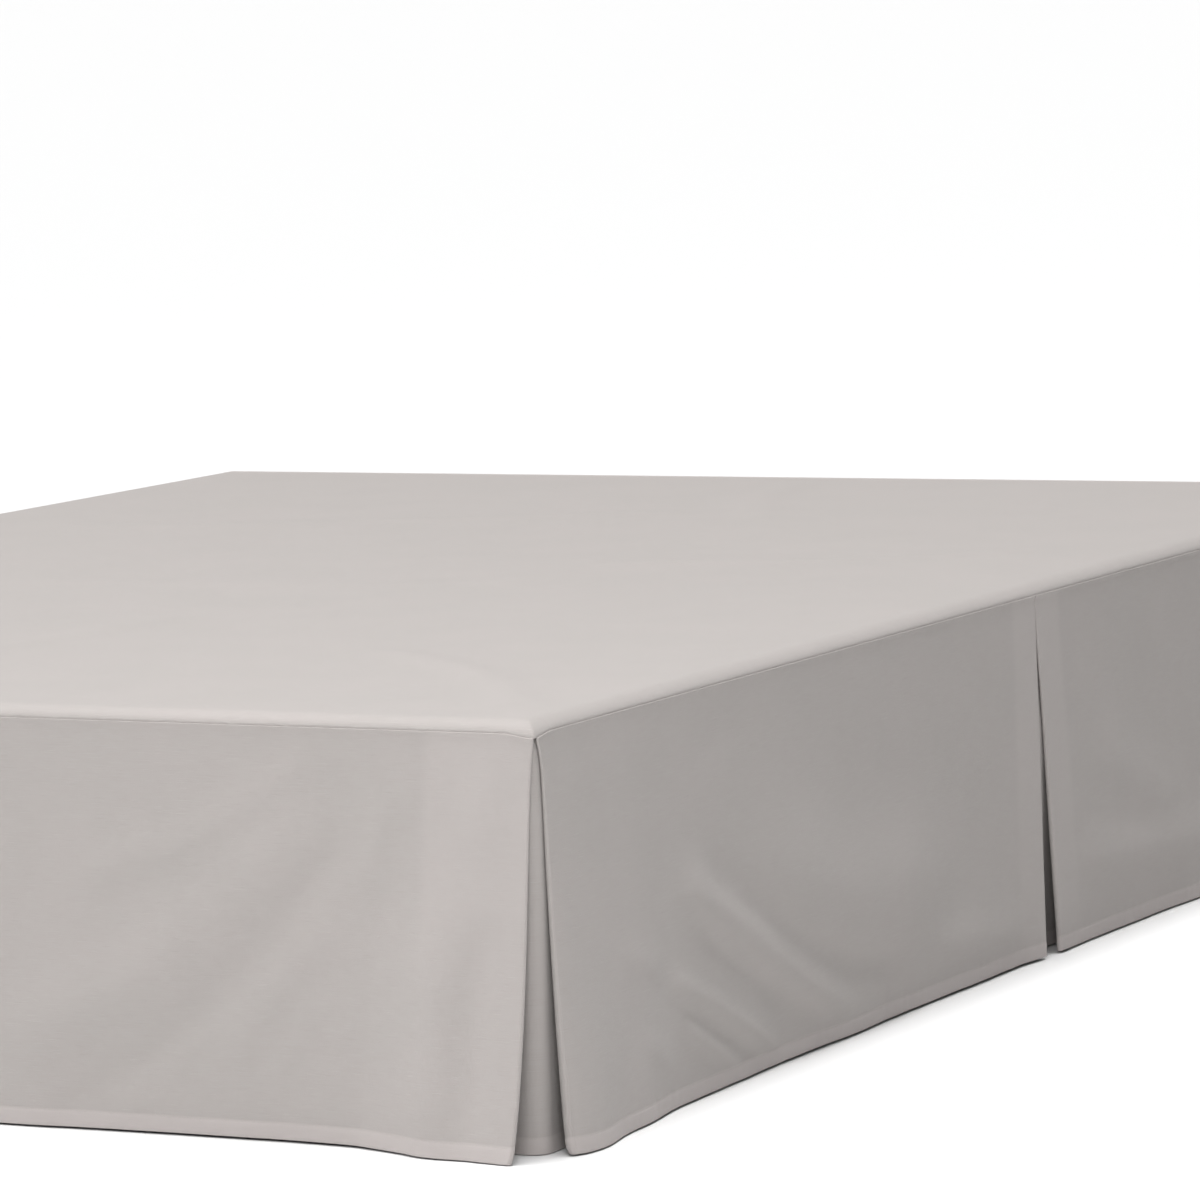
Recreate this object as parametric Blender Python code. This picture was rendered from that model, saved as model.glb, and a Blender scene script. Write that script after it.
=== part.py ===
"""A tailored bed skirt on a bed base.

Three plain drop panels hang from the edge of a deck that lies on the base, under where the
mattress goes: one at the foot and one on each side, which an inverted pleat divides in the
middle.  The foot corners are split, with an insert behind each split.  The head is open.
The base is a plain low foundation on six legs.

Frame: metres, +Z up, +Y towards the head of the bed.  The origin is on the floor, under the
middle of the whole part.  Cloth places are those of the middle of the cloth's thickness.
A place on a side of the bed is given as (along, out): the distance along that side's seam and
the distance out from it.  drop is the distance down from the seam.
"""
import math

import bmesh
import bpy
from mathutils import Vector

# ---- driving dimensions ------------------------------------------------------------------
BED_WIDTH = 1.524           # seam to seam, a 60 inch bed
BED_LENGTH = 2.032          # foot seam to the head end, an 80 inch bed
BED_CENTRE_Y = 0.018        # the foot flares out, so the bed's middle lies a little to the head
SEAM_HEIGHT = 0.3566        # the seam between deck and panels, above the floor
DROP = 0.3546               # seam to hem, a 14 inch drop
CLOTH = 0.0012              # thickness of the cloth
HEM = 0.015                 # depth of the sewn hem
HEM_EXTRA = 0.0008          # the hem's second layer, on the wrong side
HEM_STEP = 0.0006           # the ramp where that layer begins
SEWN = 0.0003               # between two pieces that are sewn together
LAYER = 0.0018              # middle to middle of two layers that lie together

# The deck's border rolls over the base's edge as a quarter ellipse.
ROLL_IN = 0.016
ROLL_DOWN = 0.010
ROLL_STEPS = 4
DECK_Z = SEAM_HEIGHT + SEWN + ROLL_DOWN
DECK_HEAD = BED_LENGTH / 2 - 0.011
CORNER_DIP = 0.0035         # how far the unsupported corner of the deck droops
CORNER_DIP_REACH = 0.030

# The top edge of a panel stands proud where its seam allowance is turned in.
SEAM_RIDGE = 0.0009
SEAM_RIDGE_REACH = 0.003
FLARE_POWER = 1.7           # a panel's flare grows as this power of the drop
EDGE_REACH = 0.150          # how far along a panel its edge's inset is felt
PANEL_STEP = 0.058
EDGE_STEPS = (0.008, 0.0285)
FOLD_STEPS = 3
RETURN_STEPS = 3
DROPS = (0.0, 0.002, 0.006, 0.030, 0.070, 0.118, 0.165, 0.212, 0.258, 0.301,
         DROP - HEM - HEM_STEP, DROP - HEM, DROP)

FOOT_RETURN = 0.098         # cloth turned back behind a split corner, at the foot
SIDE_RETURN = 0.150         # and on the side
PLEAT_RETURN = 0.052        # cloth turned back behind a middle pleat
PLEAT_CENTRE = 0.004
INSERT_LAP = 0.002          # how far an insert runs on past the returns it is sewn to
INSERT_TOP = 0.004          # its top edge lies this far under the seam
PANEL_HEAD = BED_LENGTH / 2 - 0.006

BASE_WIDTH = 1.511          # 59.5 inches, as foundations for this bed measure
BASE_LENGTH = 2.019         # 79.5 inches
BASE_HEIGHT = 0.140         # a low foundation
BASE_CORNER = 0.030
BASE_EDGE = 0.012
BASE_TOP = DECK_Z - CLOTH / 2 - SEWN
BASE_ARC_STEPS = 4
BASE_EDGE_STEPS = 3

LEG_TOP_RADIUS = 0.028
LEG_FOOT_RADIUS = 0.020
LEG_SIDES = 16
LEG_X = BASE_WIDTH / 2 - 0.065
LEG_Y = BASE_LENGTH / 2 - 0.080

CLOTH_COLOUR = (0.50, 0.47, 0.44, 1.0)
BASE_COLOUR = (0.62, 0.61, 0.58, 1.0)
LEG_COLOUR = (0.055, 0.036, 0.024, 1.0)

# ---- how the cloth hangs -----------------------------------------------------------------
# along, flare of the hem, lift of the hem
FOOT_HANG = (
    (-0.745, 0.0290, -0.0008),
    (-0.700, 0.0270, -0.0005),
    (-0.650, 0.0160, -0.0003),
    (-0.590, 0.0070, 0.0002),
    (-0.420, 0.0050, 0.0003),
    (-0.210, 0.0095, 0.0000),
    (0.000, 0.0065, 0.0003),
    (0.220, 0.0120, -0.0001),
    (0.330, 0.0085, 0.0002),
    (0.520, 0.0050, 0.0003),
    (0.575, 0.0070, 0.0002),
    (0.602, 0.0135, -0.0001),
    (0.631, 0.0206, -0.0003),
    (0.660, 0.0300, -0.0005),
    (0.690, 0.0330, -0.0008),
    (0.745, 0.0356, -0.0013),
)
RIGHT_HANG = (
    (-1.002, 0.0120, -0.0003),
    (-0.985, 0.0210, -0.0006),
    (-0.960, 0.0240, -0.0007),
    (-0.907, 0.0160, -0.0006),
    (-0.861, 0.0130, -0.0002),
    (-0.793, 0.0040, 0.0000),
    (-0.700, 0.0010, 0.0000),
    (-0.530, -0.0020, 0.0005),
    (-0.300, -0.0025, 0.0005),
    (-0.060, -0.0025, 0.0008),
    (0.004, 0.0030, 0.0010),
    (0.040, 0.0030, 0.0005),
    (0.140, 0.0010, 0.0000),
    (0.300, 0.0030, -0.0001),
    (0.430, 0.0070, -0.0003),
    (0.620, 0.0010, 0.0003),
    (0.840, 0.0030, 0.0000),
    (1.010, 0.0080, -0.0001),
)
LEFT_HANG = (
    (-1.002, 0.0140, -0.0004),
    (-0.960, 0.0220, -0.0006),
    (-0.880, 0.0120, -0.0003),
    (-0.760, 0.0030, 0.0000),
    (-0.560, -0.0015, 0.0004),
    (-0.320, 0.0020, 0.0002),
    (-0.080, -0.0010, 0.0006),
    (0.004, 0.0040, 0.0008),
    (0.040, 0.0040, 0.0005),
    (0.180, 0.0010, 0.0002),
    (0.400, 0.0050, -0.0001),
    (0.660, 0.0000, 0.0003),
    (0.860, 0.0040, 0.0000),
    (1.010, 0.0070, -0.0001),
)

# Soft ridges: from along, from drop, to along, to drop, half width, rise
FOOT_FOLDS = (
    (0.561, 0.073, 0.255, 0.300, 0.030, 0.0046),
    (0.500, 0.045, 0.330, 0.140, 0.024, 0.0024),
    (0.545, 0.205, 0.425, 0.300, 0.022, 0.0020),
    (0.040, 0.110, -0.110, 0.320, 0.035, 0.0020),
    (-0.540, 0.070, -0.300, 0.290, 0.030, 0.0026),
    (-0.620, 0.190, -0.540, 0.340, 0.024, 0.0016),
    (0.664, 0.130, 0.659, 0.400, 0.038, 0.0040),
)
RIGHT_FOLDS = (
    (-0.600, 0.152, -0.300, 0.230, 0.062, 0.0090),
    (-0.730, 0.165, -0.380, 0.335, 0.020, 0.0044),
    (-0.770, 0.235, -0.560, 0.325, 0.014, 0.0032),
    (-0.760, 0.285, -0.660, 0.328, 0.011, 0.0018),
    (0.200, 0.250, 0.470, 0.305, 0.030, 0.0020),
    (0.640, 0.120, 0.760, 0.290, 0.034, 0.0018),
)
LEFT_FOLDS = (
    (-0.420, 0.120, -0.600, 0.300, 0.030, 0.0026),
    (-0.300, 0.180, -0.420, 0.320, 0.022, 0.0018),
    (-0.800, 0.160, -0.720, 0.310, 0.026, 0.0018),
    (0.250, 0.160, 0.380, 0.320, 0.032, 0.0022),
    (0.700, 0.110, 0.620, 0.300, 0.030, 0.0018),
)

# Edges that fold back: drop, inset of the fold from its corner or pleat, radius of the fold
FOOT_RIGHT_EDGE = (
    (0.0000, 0.0005, 0.0008),
    (0.0180, 0.0030, 0.0009),
    (0.0785, 0.0072, 0.0011),
    (0.2700, 0.0117, 0.0020),
    (0.3463, 0.0162, 0.0022),
    (0.3546, 0.0185, 0.0022),
)
FOOT_LEFT_EDGE = (
    (0.0000, 0.0003, 0.0008),
    (0.0800, 0.0060, 0.0012),
    (0.2600, 0.0150, 0.0021),
    (0.3546, 0.0200, 0.0023),
)
SIDE_FOOT_EDGE = (
    (0.0000, 0.0042, 0.0008),
    (0.0155, 0.0095, 0.0009),
    (0.0350, 0.0125, 0.0010),
    (0.0800, 0.0138, 0.0014),
    (0.2750, 0.0138, 0.0034),
    (0.3546, 0.0165, 0.0040),
)
PLEAT_FRONT_EDGE = (
    (0.0000, 0.0003, 0.0008),
    (0.1180, -0.0004, 0.0010),
    (0.2800, -0.0012, 0.0021),
    (0.3546, -0.0002, 0.0022),
)
PLEAT_REAR_EDGE = (
    (0.0000, 0.0003, 0.0008),
    (0.0300, 0.0018, 0.0008),
    (0.1000, 0.0105, 0.0010),
    (0.1630, 0.0180, 0.0016),
    (0.2830, 0.0275, 0.0021),
    (0.3546, 0.0325, 0.0022),
)

# Inserts: drop, out
CORNER_INSERT_FOOT = ((0.0, -0.0036), (0.118, -0.0039), (0.250, -0.0060), (0.3546, -0.0080))
CORNER_INSERT_SIDE = ((0.0, -0.0036), (0.118, -0.0039), (0.250, -0.0070), (0.3546, -0.0100))
CORNER_INSERT_BEND = ((0.0, 0.0080), (0.118, 0.0130), (0.3546, 0.0160))
PLEAT_INSERT = ((0.0, -0.0036), (0.118, -0.0039), (0.190, -0.0075), (0.3546, -0.0220))
CORNER_INSERT_LIFT = -0.0015
PLEAT_INSERT_LIFT = 0.0005


def read_table(rows, key, column=1):
    """The value in a column of a table at a key, eased between rows and held past the ends."""
    if key <= rows[0][0]:
        return rows[0][column]
    for low, high in zip(rows, rows[1:]):
        if key <= high[0]:
            share = (key - low[0]) / (high[0] - low[0])
            eased = share * share * (3 - 2 * share)
            return low[column] + (high[column] - low[column]) * (0.5 * share + 0.5 * eased)
    return rows[-1][column]


def ridge_height(folds, along, drop):
    """How far the soft ridges of a panel push it out at one place."""
    height = 0.0
    for from_along, from_drop, to_along, to_drop, width, rise in folds:
        run = Vector((to_along - from_along, to_drop - from_drop))
        here = Vector((along - from_along, drop - from_drop))
        share = min(max(here.dot(run) / run.length_squared, 0.0), 1.0)
        distance = (here - run * share).length
        height += rise * math.exp(-((distance / width) ** 2))
    return height


class Side:
    """One side of the bed, with the table and ridges that say how its cloth hangs."""

    def __init__(self, along, out, distance, corners, hang, folds):
        self.along = Vector(along)
        self.out = Vector(out)
        self.distance = distance
        self.corners = corners
        self.hang = hang
        self.folds = folds

    def place(self, along, out, height):
        plan = self.along * along + self.out * (self.distance + out)
        return Vector((plan.x, plan.y + BED_CENTRE_Y, height))

    def corner_dip(self, along):
        """How far the seam droops near a split corner."""
        nearest = min(abs(corner - along) for corner in self.corners)
        return CORNER_DIP * max(0.0, 1 - nearest / CORNER_DIP_REACH)

    def height(self, along, drop):
        lift = read_table(self.hang, along, 2)
        dip = self.corner_dip(along) * max(0.0, 1 - drop / CORNER_DIP_REACH)
        return SEAM_HEIGHT - dip - drop * (DROP - lift) / DROP

    def surface(self, along, drop):
        """How far out the face of a panel hangs."""
        flare = read_table(self.hang, along, 1) * (drop / DROP) ** FLARE_POWER
        ridge = SEAM_RIDGE * math.exp(-((drop / SEAM_RIDGE_REACH) ** 2))
        fade = min(1.0, drop / 0.06)
        return flare + ridge + fade * ridge_height(self.folds, along, drop)


FOOT = Side((1, 0), (0, -1), BED_LENGTH / 2, (-BED_WIDTH / 2, BED_WIDTH / 2), FOOT_HANG, FOOT_FOLDS)
RIGHT = Side((0, 1), (1, 0), BED_WIDTH / 2, (-BED_LENGTH / 2,), RIGHT_HANG, RIGHT_FOLDS)
LEFT = Side((0, 1), (-1, 0), BED_WIDTH / 2, (-BED_LENGTH / 2,), LEFT_HANG, LEFT_FOLDS)


class FoldedEdge:
    """An edge of a panel that folds back behind it to meet the end of an insert.

    datum is the corner or the middle of the pleat, heading is +1 where the panel runs towards
    larger values of along to reach it, and -1 where it runs the other way.
    """

    def __init__(self, side, datum, heading, rows, length, insert):
        self.side = side
        self.datum = datum
        self.heading = heading
        self.rows = rows
        self.length = length
        self.insert = insert

    def face_end(self, drop):
        """Where the face stops and its fold begins."""
        inset = read_table(self.rows, drop, 1) + CLOTH / 2 + read_table(self.rows, drop, 2)
        return self.datum - self.heading * inset

    def turn(self, drop):
        """The fold and the return behind it, as (along, out) from the face's end onwards."""
        radius = read_table(self.rows, drop, 2)
        start = self.face_end(drop)
        middle = self.side.surface(start, drop) - radius
        target = read_table(self.insert, drop) + LAYER
        slope = 0.0
        for _ in range(4):
            sine = (middle - radius * math.cos(slope) - target) / self.length
            slope = math.asin(min(max(sine, -0.9), 0.9))
        places = []
        for step in range(1, FOLD_STEPS + 1):
            angle = (math.pi - slope) * step / FOLD_STEPS
            places.append((radius * math.sin(angle), middle + radius * math.cos(angle)))
        reach, out = places[-1]
        for step in range(1, RETURN_STEPS + 1):
            run = self.length * step / RETURN_STEPS
            places.append((reach - run * math.cos(slope), out - run * math.sin(slope)))
        return [(start + self.heading * ahead, level) for ahead, level in places]

    def seam(self, drop):
        """Where along the side the return ends."""
        return self.turn(drop)[-1][0]


class PlainEdge:
    """A straight hemmed edge."""

    def __init__(self, along, heading):
        self.along = along
        self.heading = heading

    def face_end(self, drop):
        return self.along

    def turn(self, drop):
        return []


def stations(start, end, inner, outer):
    """Places along a panel's top edge: close together by its edges, evenly spread between."""
    near = [start] + [start + reach for reach in inner]
    far = [end - reach for reach in reversed(outer)] + [end]
    count = max(1, round((far[0] - near[-1]) / PANEL_STEP))
    between = [near[-1] + (far[0] - near[-1]) * n / count for n in range(1, count)]
    return near + between + far


def path_normals(path):
    """The right side of the cloth at each point of a plan path that runs along a side."""
    normals = []
    for index in range(len(path)):
        before = Vector(path[max(index - 1, 0)])
        after = Vector(path[min(index + 1, len(path) - 1)])
        tangent = (after - before).normalized()
        normals.append(Vector((-tangent.y, tangent.x)))
    return normals


def back_offset(drop, in_hem):
    """How far the wrong side lies from the cloth's middle, which is more in a hem."""
    hem_line = DROP - HEM - HEM_STEP / 2
    return CLOTH / 2 + (HEM_EXTRA if in_hem or drop > hem_line else 0.0)


def add_material(thing, colour, roughness):
    material = bpy.data.materials.new(thing.name)
    material.use_nodes = True
    shader = material.node_tree.nodes["Principled BSDF"]
    shader.inputs["Base Color"].default_value = colour
    shader.inputs["Roughness"].default_value = roughness
    shader.inputs["Metallic"].default_value = 0.0
    thing.data.materials.append(material)


def add_object(name, mesh, colour, roughness, sharp_angle=35):
    """Put a finished bmesh in the scene as one closed object with its faces pointing out."""
    bmesh.ops.recalc_face_normals(mesh, faces=mesh.faces[:])
    data = bpy.data.meshes.new(name)
    mesh.to_mesh(data)
    mesh.free()
    data.shade_smooth()
    data.set_sharp_from_angle(angle=math.radians(sharp_angle))
    thing = bpy.data.objects.new(name, data)
    bpy.context.scene.collection.objects.link(thing)
    add_material(thing, colour, roughness)
    return thing


def close_grid(mesh, front, back):
    """Faces over two grids of points, front and back, and round their four borders."""
    tops = [[mesh.verts.new(place) for place in row] for row in front]
    unders = [[mesh.verts.new(place) for place in row] for row in back]
    for grid in (tops, unders):
        for upper, lower in zip(grid, grid[1:]):
            for index in range(len(upper) - 1):
                mesh.faces.new((upper[index], upper[index + 1], lower[index + 1], lower[index]))
    for row in (0, -1):
        for index in range(len(tops[0]) - 1):
            mesh.faces.new((tops[row][index], tops[row][index + 1],
                            unders[row][index + 1], unders[row][index]))
    for column in (0, -1):
        for index in range(len(tops) - 1):
            mesh.faces.new((tops[index][column], tops[index + 1][column],
                            unders[index + 1][column], unders[index][column]))


def make_panel(name, side, low_edge, high_edge):
    """A drop panel between two edges, with the cloth that folds back at them, as one solid."""
    near = EDGE_STEPS if isinstance(low_edge, FoldedEdge) else (HEM, HEM + HEM_STEP)
    far = EDGE_STEPS if isinstance(high_edge, FoldedEdge) else (HEM, HEM + HEM_STEP)
    top_row = stations(low_edge.face_end(0), high_edge.face_end(0), near, far)
    front, back = [], []
    for drop in DROPS:
        low_shift = low_edge.face_end(drop) - low_edge.face_end(0)
        high_shift = high_edge.face_end(drop) - high_edge.face_end(0)
        face = []
        for along in top_row:
            low_share = max(0.0, 1 - (along - top_row[0]) / EDGE_REACH)
            high_share = max(0.0, 1 - (top_row[-1] - along) / EDGE_REACH)
            moved = along + low_shift * low_share + high_shift * high_share
            face.append((moved, side.surface(moved, drop)))
        low_turn = low_edge.turn(drop)
        path = low_turn[::-1] + face + high_edge.turn(drop)
        front_row, back_row = [], []
        for index, (place, normal) in enumerate(zip(path, path_normals(path))):
            column = index - len(low_turn)
            end_hem = isinstance(high_edge, PlainEdge) and column >= len(top_row) - 2
            right = Vector(place) + normal * (CLOTH / 2)
            wrong = Vector(place) - normal * back_offset(drop, end_hem)
            height = side.height(min(max(place[0], face[0][0]), face[-1][0]), drop)
            front_row.append(side.place(right.x, right.y, height))
            back_row.append(side.place(wrong.x, wrong.y, height))
        front.append(front_row)
        back.append(back_row)
    mesh = bmesh.new()
    close_grid(mesh, front, back)
    return add_object(name, mesh, CLOTH_COLOUR, 0.9)


def insert_height(drop, lift):
    """Inserts start a little under the seam and reach their own hem."""
    share = drop / DROP
    return SEAM_HEIGHT - INSERT_TOP * (1 - share) - share * (DROP - lift)


def insert_solid(name, side, paths, lift):
    """An insert from its plan paths, one for each drop, given as (along, out) on a side."""
    front, back = [], []
    for drop, path in zip(DROPS, paths):
        height = insert_height(drop, lift)
        front_row, back_row = [], []
        for place, normal in zip(path, path_normals(path)):
            right = Vector(place) + normal * (CLOTH / 2)
            wrong = Vector(place) - normal * back_offset(drop, False)
            front_row.append(side.place(right.x, right.y, height))
            back_row.append(side.place(wrong.x, wrong.y, height))
        front.append(front_row)
        back.append(back_row)
    mesh = bmesh.new()
    close_grid(mesh, front, back)
    return add_object(name, mesh, CLOTH_COLOUR, 0.9)


def make_pleat_insert(name, side, front_edge, rear_edge):
    """The flat underlay behind a middle pleat, from return to return."""
    paths = []
    for drop in DROPS:
        out = read_table(PLEAT_INSERT, drop)
        start = front_edge.seam(drop) - INSERT_LAP
        end = rear_edge.seam(drop) + INSERT_LAP
        count = 4
        paths.append([(start + (end - start) * n / count, out) for n in range(count + 1)])
    return insert_solid(name, side, paths, PLEAT_INSERT_LIFT)


def make_corner_insert(name, hand, foot_edge, side_edge):
    """The insert behind a split corner, bent round it.

    It is laid out on the foot side, where along runs across the bed and out towards the foot,
    so the stretch on the bed's side has a constant along and an out that falls below zero.
    hand is +1 for the right corner and -1 for the left.
    """
    paths = []
    arc_steps = 5
    for drop in DROPS:
        foot_out = read_table(CORNER_INSERT_FOOT, drop)
        side_out = read_table(CORNER_INSERT_SIDE, drop)
        bend = read_table(CORNER_INSERT_BEND, drop)
        across = BED_WIDTH / 2 + side_out
        start = hand * foot_edge.seam(drop) - INSERT_LAP
        end = -(side_edge.seam(drop) + INSERT_LAP + BED_LENGTH / 2)
        path = [(start, foot_out), ((start + across - bend) / 2, foot_out)]
        for step in range(arc_steps + 1):
            angle = math.radians(90) * step / arc_steps
            path.append((across - bend + bend * math.sin(angle),
                         foot_out - bend + bend * math.cos(angle)))
        path.append((across, (foot_out - bend + end) / 2))
        path.append((across, end))
        if hand < 0:
            path = [(-along, out) for along, out in reversed(path)]
        paths.append(path)
    return insert_solid(name, FOOT, paths, CORNER_INSERT_LIFT)


def make_deck():
    """The cloth under the mattress: flat, with a border rolling down to the seam on three sides."""
    section = []
    for step in range(ROLL_STEPS + 1):
        angle = math.radians(90) * step / ROLL_STEPS
        middle = Vector((-ROLL_IN * (1 - math.sin(angle)), DECK_Z - ROLL_DOWN * (1 - math.cos(angle))))
        normal = Vector((math.sin(angle) / ROLL_IN, math.cos(angle) / ROLL_DOWN)).normalized()
        section.append((middle, normal, step / ROLL_STEPS))

    reach = CORNER_DIP_REACH
    half_length = BED_LENGTH / 2
    mesh = bmesh.new()

    def outline(out, height, droop):
        """One ring of the deck, from the head on the left round the foot to the head."""
        across, foot = BED_WIDTH / 2 + out, half_length + out
        ring = []
        for down in (DECK_HEAD, 0.5, 0.0, -0.5, -half_length + reach):
            ring.append((-across, down, 0.0))
        ring.append((-across, -foot, droop))
        for over in (-BED_WIDTH / 2 + reach, -0.45, -0.15, 0.15, 0.45, BED_WIDTH / 2 - reach):
            ring.append((over, -foot, 0.0))
        ring.append((across, -foot, droop))
        for up in (-half_length + reach, -0.5, 0.0, 0.5, DECK_HEAD):
            ring.append((across, up, 0.0))
        return [mesh.verts.new((x, y + BED_CENTRE_Y, height - sag)) for x, y, sag in ring]

    skins = []
    for face in (1, -1):
        rings = []
        for middle, normal, share in section:
            place = middle + normal * (face * CLOTH / 2)
            if share == 1.0:
                place.y = DECK_Z - ROLL_DOWN
            rings.append(outline(place.x, place.y, CORNER_DIP * share))
        mesh.faces.new(rings[0])
        for inner, outer in zip(rings, rings[1:]):
            for index in range(len(inner) - 1):
                mesh.faces.new((inner[index], inner[index + 1], outer[index + 1], outer[index]))
        skins.append(rings)
    over, under = skins
    for index in range(len(over[0]) - 1):
        mesh.faces.new((over[-1][index], over[-1][index + 1], under[-1][index + 1], under[-1][index]))
    for column in (0, -1):
        for ring in range(ROLL_STEPS):
            mesh.faces.new((over[ring][column], over[ring + 1][column],
                            under[ring + 1][column], under[ring][column]))
    mesh.faces.new((over[0][0], over[0][-1], under[0][-1], under[0][0]))
    return add_object("deck", mesh, CLOTH_COLOUR, 0.9)


def make_base():
    """A plain foundation: a low box with rounded corners and softened edges."""
    mesh = bmesh.new()

    def ring(inset, height):
        points = []
        radius = BASE_CORNER - inset
        across, down = BASE_WIDTH / 2 - BASE_CORNER, BASE_LENGTH / 2 - BASE_CORNER
        for quarter, (x, y) in enumerate(((across, down), (-across, down), (-across, -down), (across, -down))):
            for step in range(BASE_ARC_STEPS + 1):
                angle = math.radians(90) * (quarter + step / BASE_ARC_STEPS)
                points.append((x + radius * math.cos(angle), y + radius * math.sin(angle)))
        return [mesh.verts.new((x, y + BED_CENTRE_Y, height)) for x, y in points]

    rings = []
    for step in range(BASE_EDGE_STEPS + 1):
        angle = math.radians(90) * step / BASE_EDGE_STEPS
        rings.append(ring(BASE_EDGE * (1 - math.sin(angle)),
                          BASE_TOP - BASE_HEIGHT + BASE_EDGE * (1 - math.cos(angle))))
    for step in range(BASE_EDGE_STEPS + 1):
        angle = math.radians(90) * step / BASE_EDGE_STEPS
        rings.append(ring(BASE_EDGE * (1 - math.cos(angle)), BASE_TOP - BASE_EDGE * (1 - math.sin(angle))))
    for lower, upper in zip(rings, rings[1:]):
        for index in range(len(lower)):
            following = (index + 1) % len(lower)
            mesh.faces.new((lower[index], lower[following], upper[following], upper[index]))
    mesh.faces.new(rings[0])
    mesh.faces.new(rings[-1])
    return add_object("bed_base", mesh, BASE_COLOUR, 0.85)


def make_leg(name, x, y):
    """A plain turned leg, narrower at the floor."""
    mesh = bmesh.new()
    length = BASE_TOP - BASE_HEIGHT - SEWN
    bmesh.ops.create_cone(mesh, cap_ends=True, segments=LEG_SIDES, radius1=LEG_FOOT_RADIUS,
                          radius2=LEG_TOP_RADIUS, depth=length)
    bmesh.ops.translate(mesh, verts=mesh.verts[:], vec=(0, 0, length / 2))
    leg = add_object(name, mesh, LEG_COLOUR, 0.4)
    leg.location = (x, y + BED_CENTRE_Y, 0)
    return leg


def make_skirt_side(word, side, foot_edge, hand):
    """The two drop panels on one side of the bed, with the inserts they are sewn to."""
    corner = -BED_LENGTH / 2
    foot_end = FoldedEdge(side, corner, -1, SIDE_FOOT_EDGE, SIDE_RETURN, CORNER_INSERT_SIDE)
    pleat_front = FoldedEdge(side, PLEAT_CENTRE, 1, PLEAT_FRONT_EDGE, PLEAT_RETURN, PLEAT_INSERT)
    pleat_rear = FoldedEdge(side, PLEAT_CENTRE, -1, PLEAT_REAR_EDGE, PLEAT_RETURN, PLEAT_INSERT)
    make_panel("side_front_" + word, side, foot_end, pleat_front)
    make_panel("side_rear_" + word, side, pleat_rear, PlainEdge(PANEL_HEAD, 1))
    make_pleat_insert("pleat_insert_" + word, side, pleat_front, pleat_rear)
    make_corner_insert("corner_insert_" + word, hand, foot_edge, foot_end)


def main():
    for thing in list(bpy.data.objects):
        bpy.data.objects.remove(thing, do_unlink=True)
    foot_left = FoldedEdge(FOOT, -BED_WIDTH / 2, -1, FOOT_LEFT_EDGE, FOOT_RETURN, CORNER_INSERT_FOOT)
    foot_right = FoldedEdge(FOOT, BED_WIDTH / 2, 1, FOOT_RIGHT_EDGE, FOOT_RETURN, CORNER_INSERT_FOOT)
    make_deck()
    make_panel("foot_panel", FOOT, foot_left, foot_right)
    make_skirt_side("right", RIGHT, foot_right, 1)
    make_skirt_side("left", LEFT, foot_left, -1)
    make_base()
    for end_word, y in (("foot", -LEG_Y), ("middle", 0.0), ("head", LEG_Y)):
        for side_word, x in (("left", -LEG_X), ("right", LEG_X)):
            make_leg(f"leg_{end_word}_{side_word}", x, y)


main()
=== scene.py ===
import math

import bpy
import numpy as np
from mathutils import Matrix, Vector


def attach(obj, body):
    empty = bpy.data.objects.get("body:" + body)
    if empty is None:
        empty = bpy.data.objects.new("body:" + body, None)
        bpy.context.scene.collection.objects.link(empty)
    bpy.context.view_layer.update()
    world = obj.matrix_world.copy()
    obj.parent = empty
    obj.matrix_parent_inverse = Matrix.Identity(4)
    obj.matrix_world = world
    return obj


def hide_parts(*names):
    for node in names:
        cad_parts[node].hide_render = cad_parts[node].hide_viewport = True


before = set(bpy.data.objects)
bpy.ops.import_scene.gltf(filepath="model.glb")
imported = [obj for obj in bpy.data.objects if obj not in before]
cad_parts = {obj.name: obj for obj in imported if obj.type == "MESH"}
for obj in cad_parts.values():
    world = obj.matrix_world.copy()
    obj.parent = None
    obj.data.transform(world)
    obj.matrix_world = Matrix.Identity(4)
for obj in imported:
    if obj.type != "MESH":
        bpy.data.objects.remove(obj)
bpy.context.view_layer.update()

# Metres, +Z up, +Y towards the head of the bed, origin on the floor under the part's middle.
# along runs along a side's seam, out is the distance outwards from it, drop the distance down.

# ---- the bed skirt's sizes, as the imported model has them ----
BED_WIDTH = 1.524
BED_LENGTH = 2.032
BED_CENTRE_Y = 0.018
SEAM_HEIGHT = 0.3566
DROP = 0.3546
CLOTH = 0.0012
HEM = 0.015
HEM_EXTRA = 0.0008
SEWN = 0.0003  # the gap between pieces that are sewn or lie together
LAYER = 0.0018  # from the middle of an insert's cloth to a return's
ROLL_IN = 0.016
ROLL_DOWN = 0.010
DECK_Z = SEAM_HEIGHT + SEWN + ROLL_DOWN
DECK_HEAD = BED_LENGTH / 2 - 0.011
CORNER_DIP = 0.0035
CORNER_DIP_REACH = 0.030
SEAM_RIDGE = 0.0009
SEAM_RIDGE_REACH = 0.003
FLARE_POWER = 1.7
EDGE_REACH = 0.150
FOOT_RETURN = 0.098
SIDE_RETURN = 0.150
PLEAT_RETURN = 0.052
PLEAT_CENTRE = 0.004
INSERT_LAP = 0.002
INSERT_TOP = 0.004
PANEL_HEAD = BED_LENGTH / 2 - 0.006
BASE_WIDTH = 1.511
BASE_LENGTH = 2.019
BASE_HEIGHT = 0.140
BASE_CORNER = 0.030
BASE_EDGE = 0.012
BASE_TOP = DECK_Z - CLOTH / 2 - SEWN
LEG_TOP_RADIUS = 0.028
LEG_FOOT_RADIUS = 0.020
LEG_X = BASE_WIDTH / 2 - 0.065
LEG_Y = BASE_LENGTH / 2 - 0.080

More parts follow.
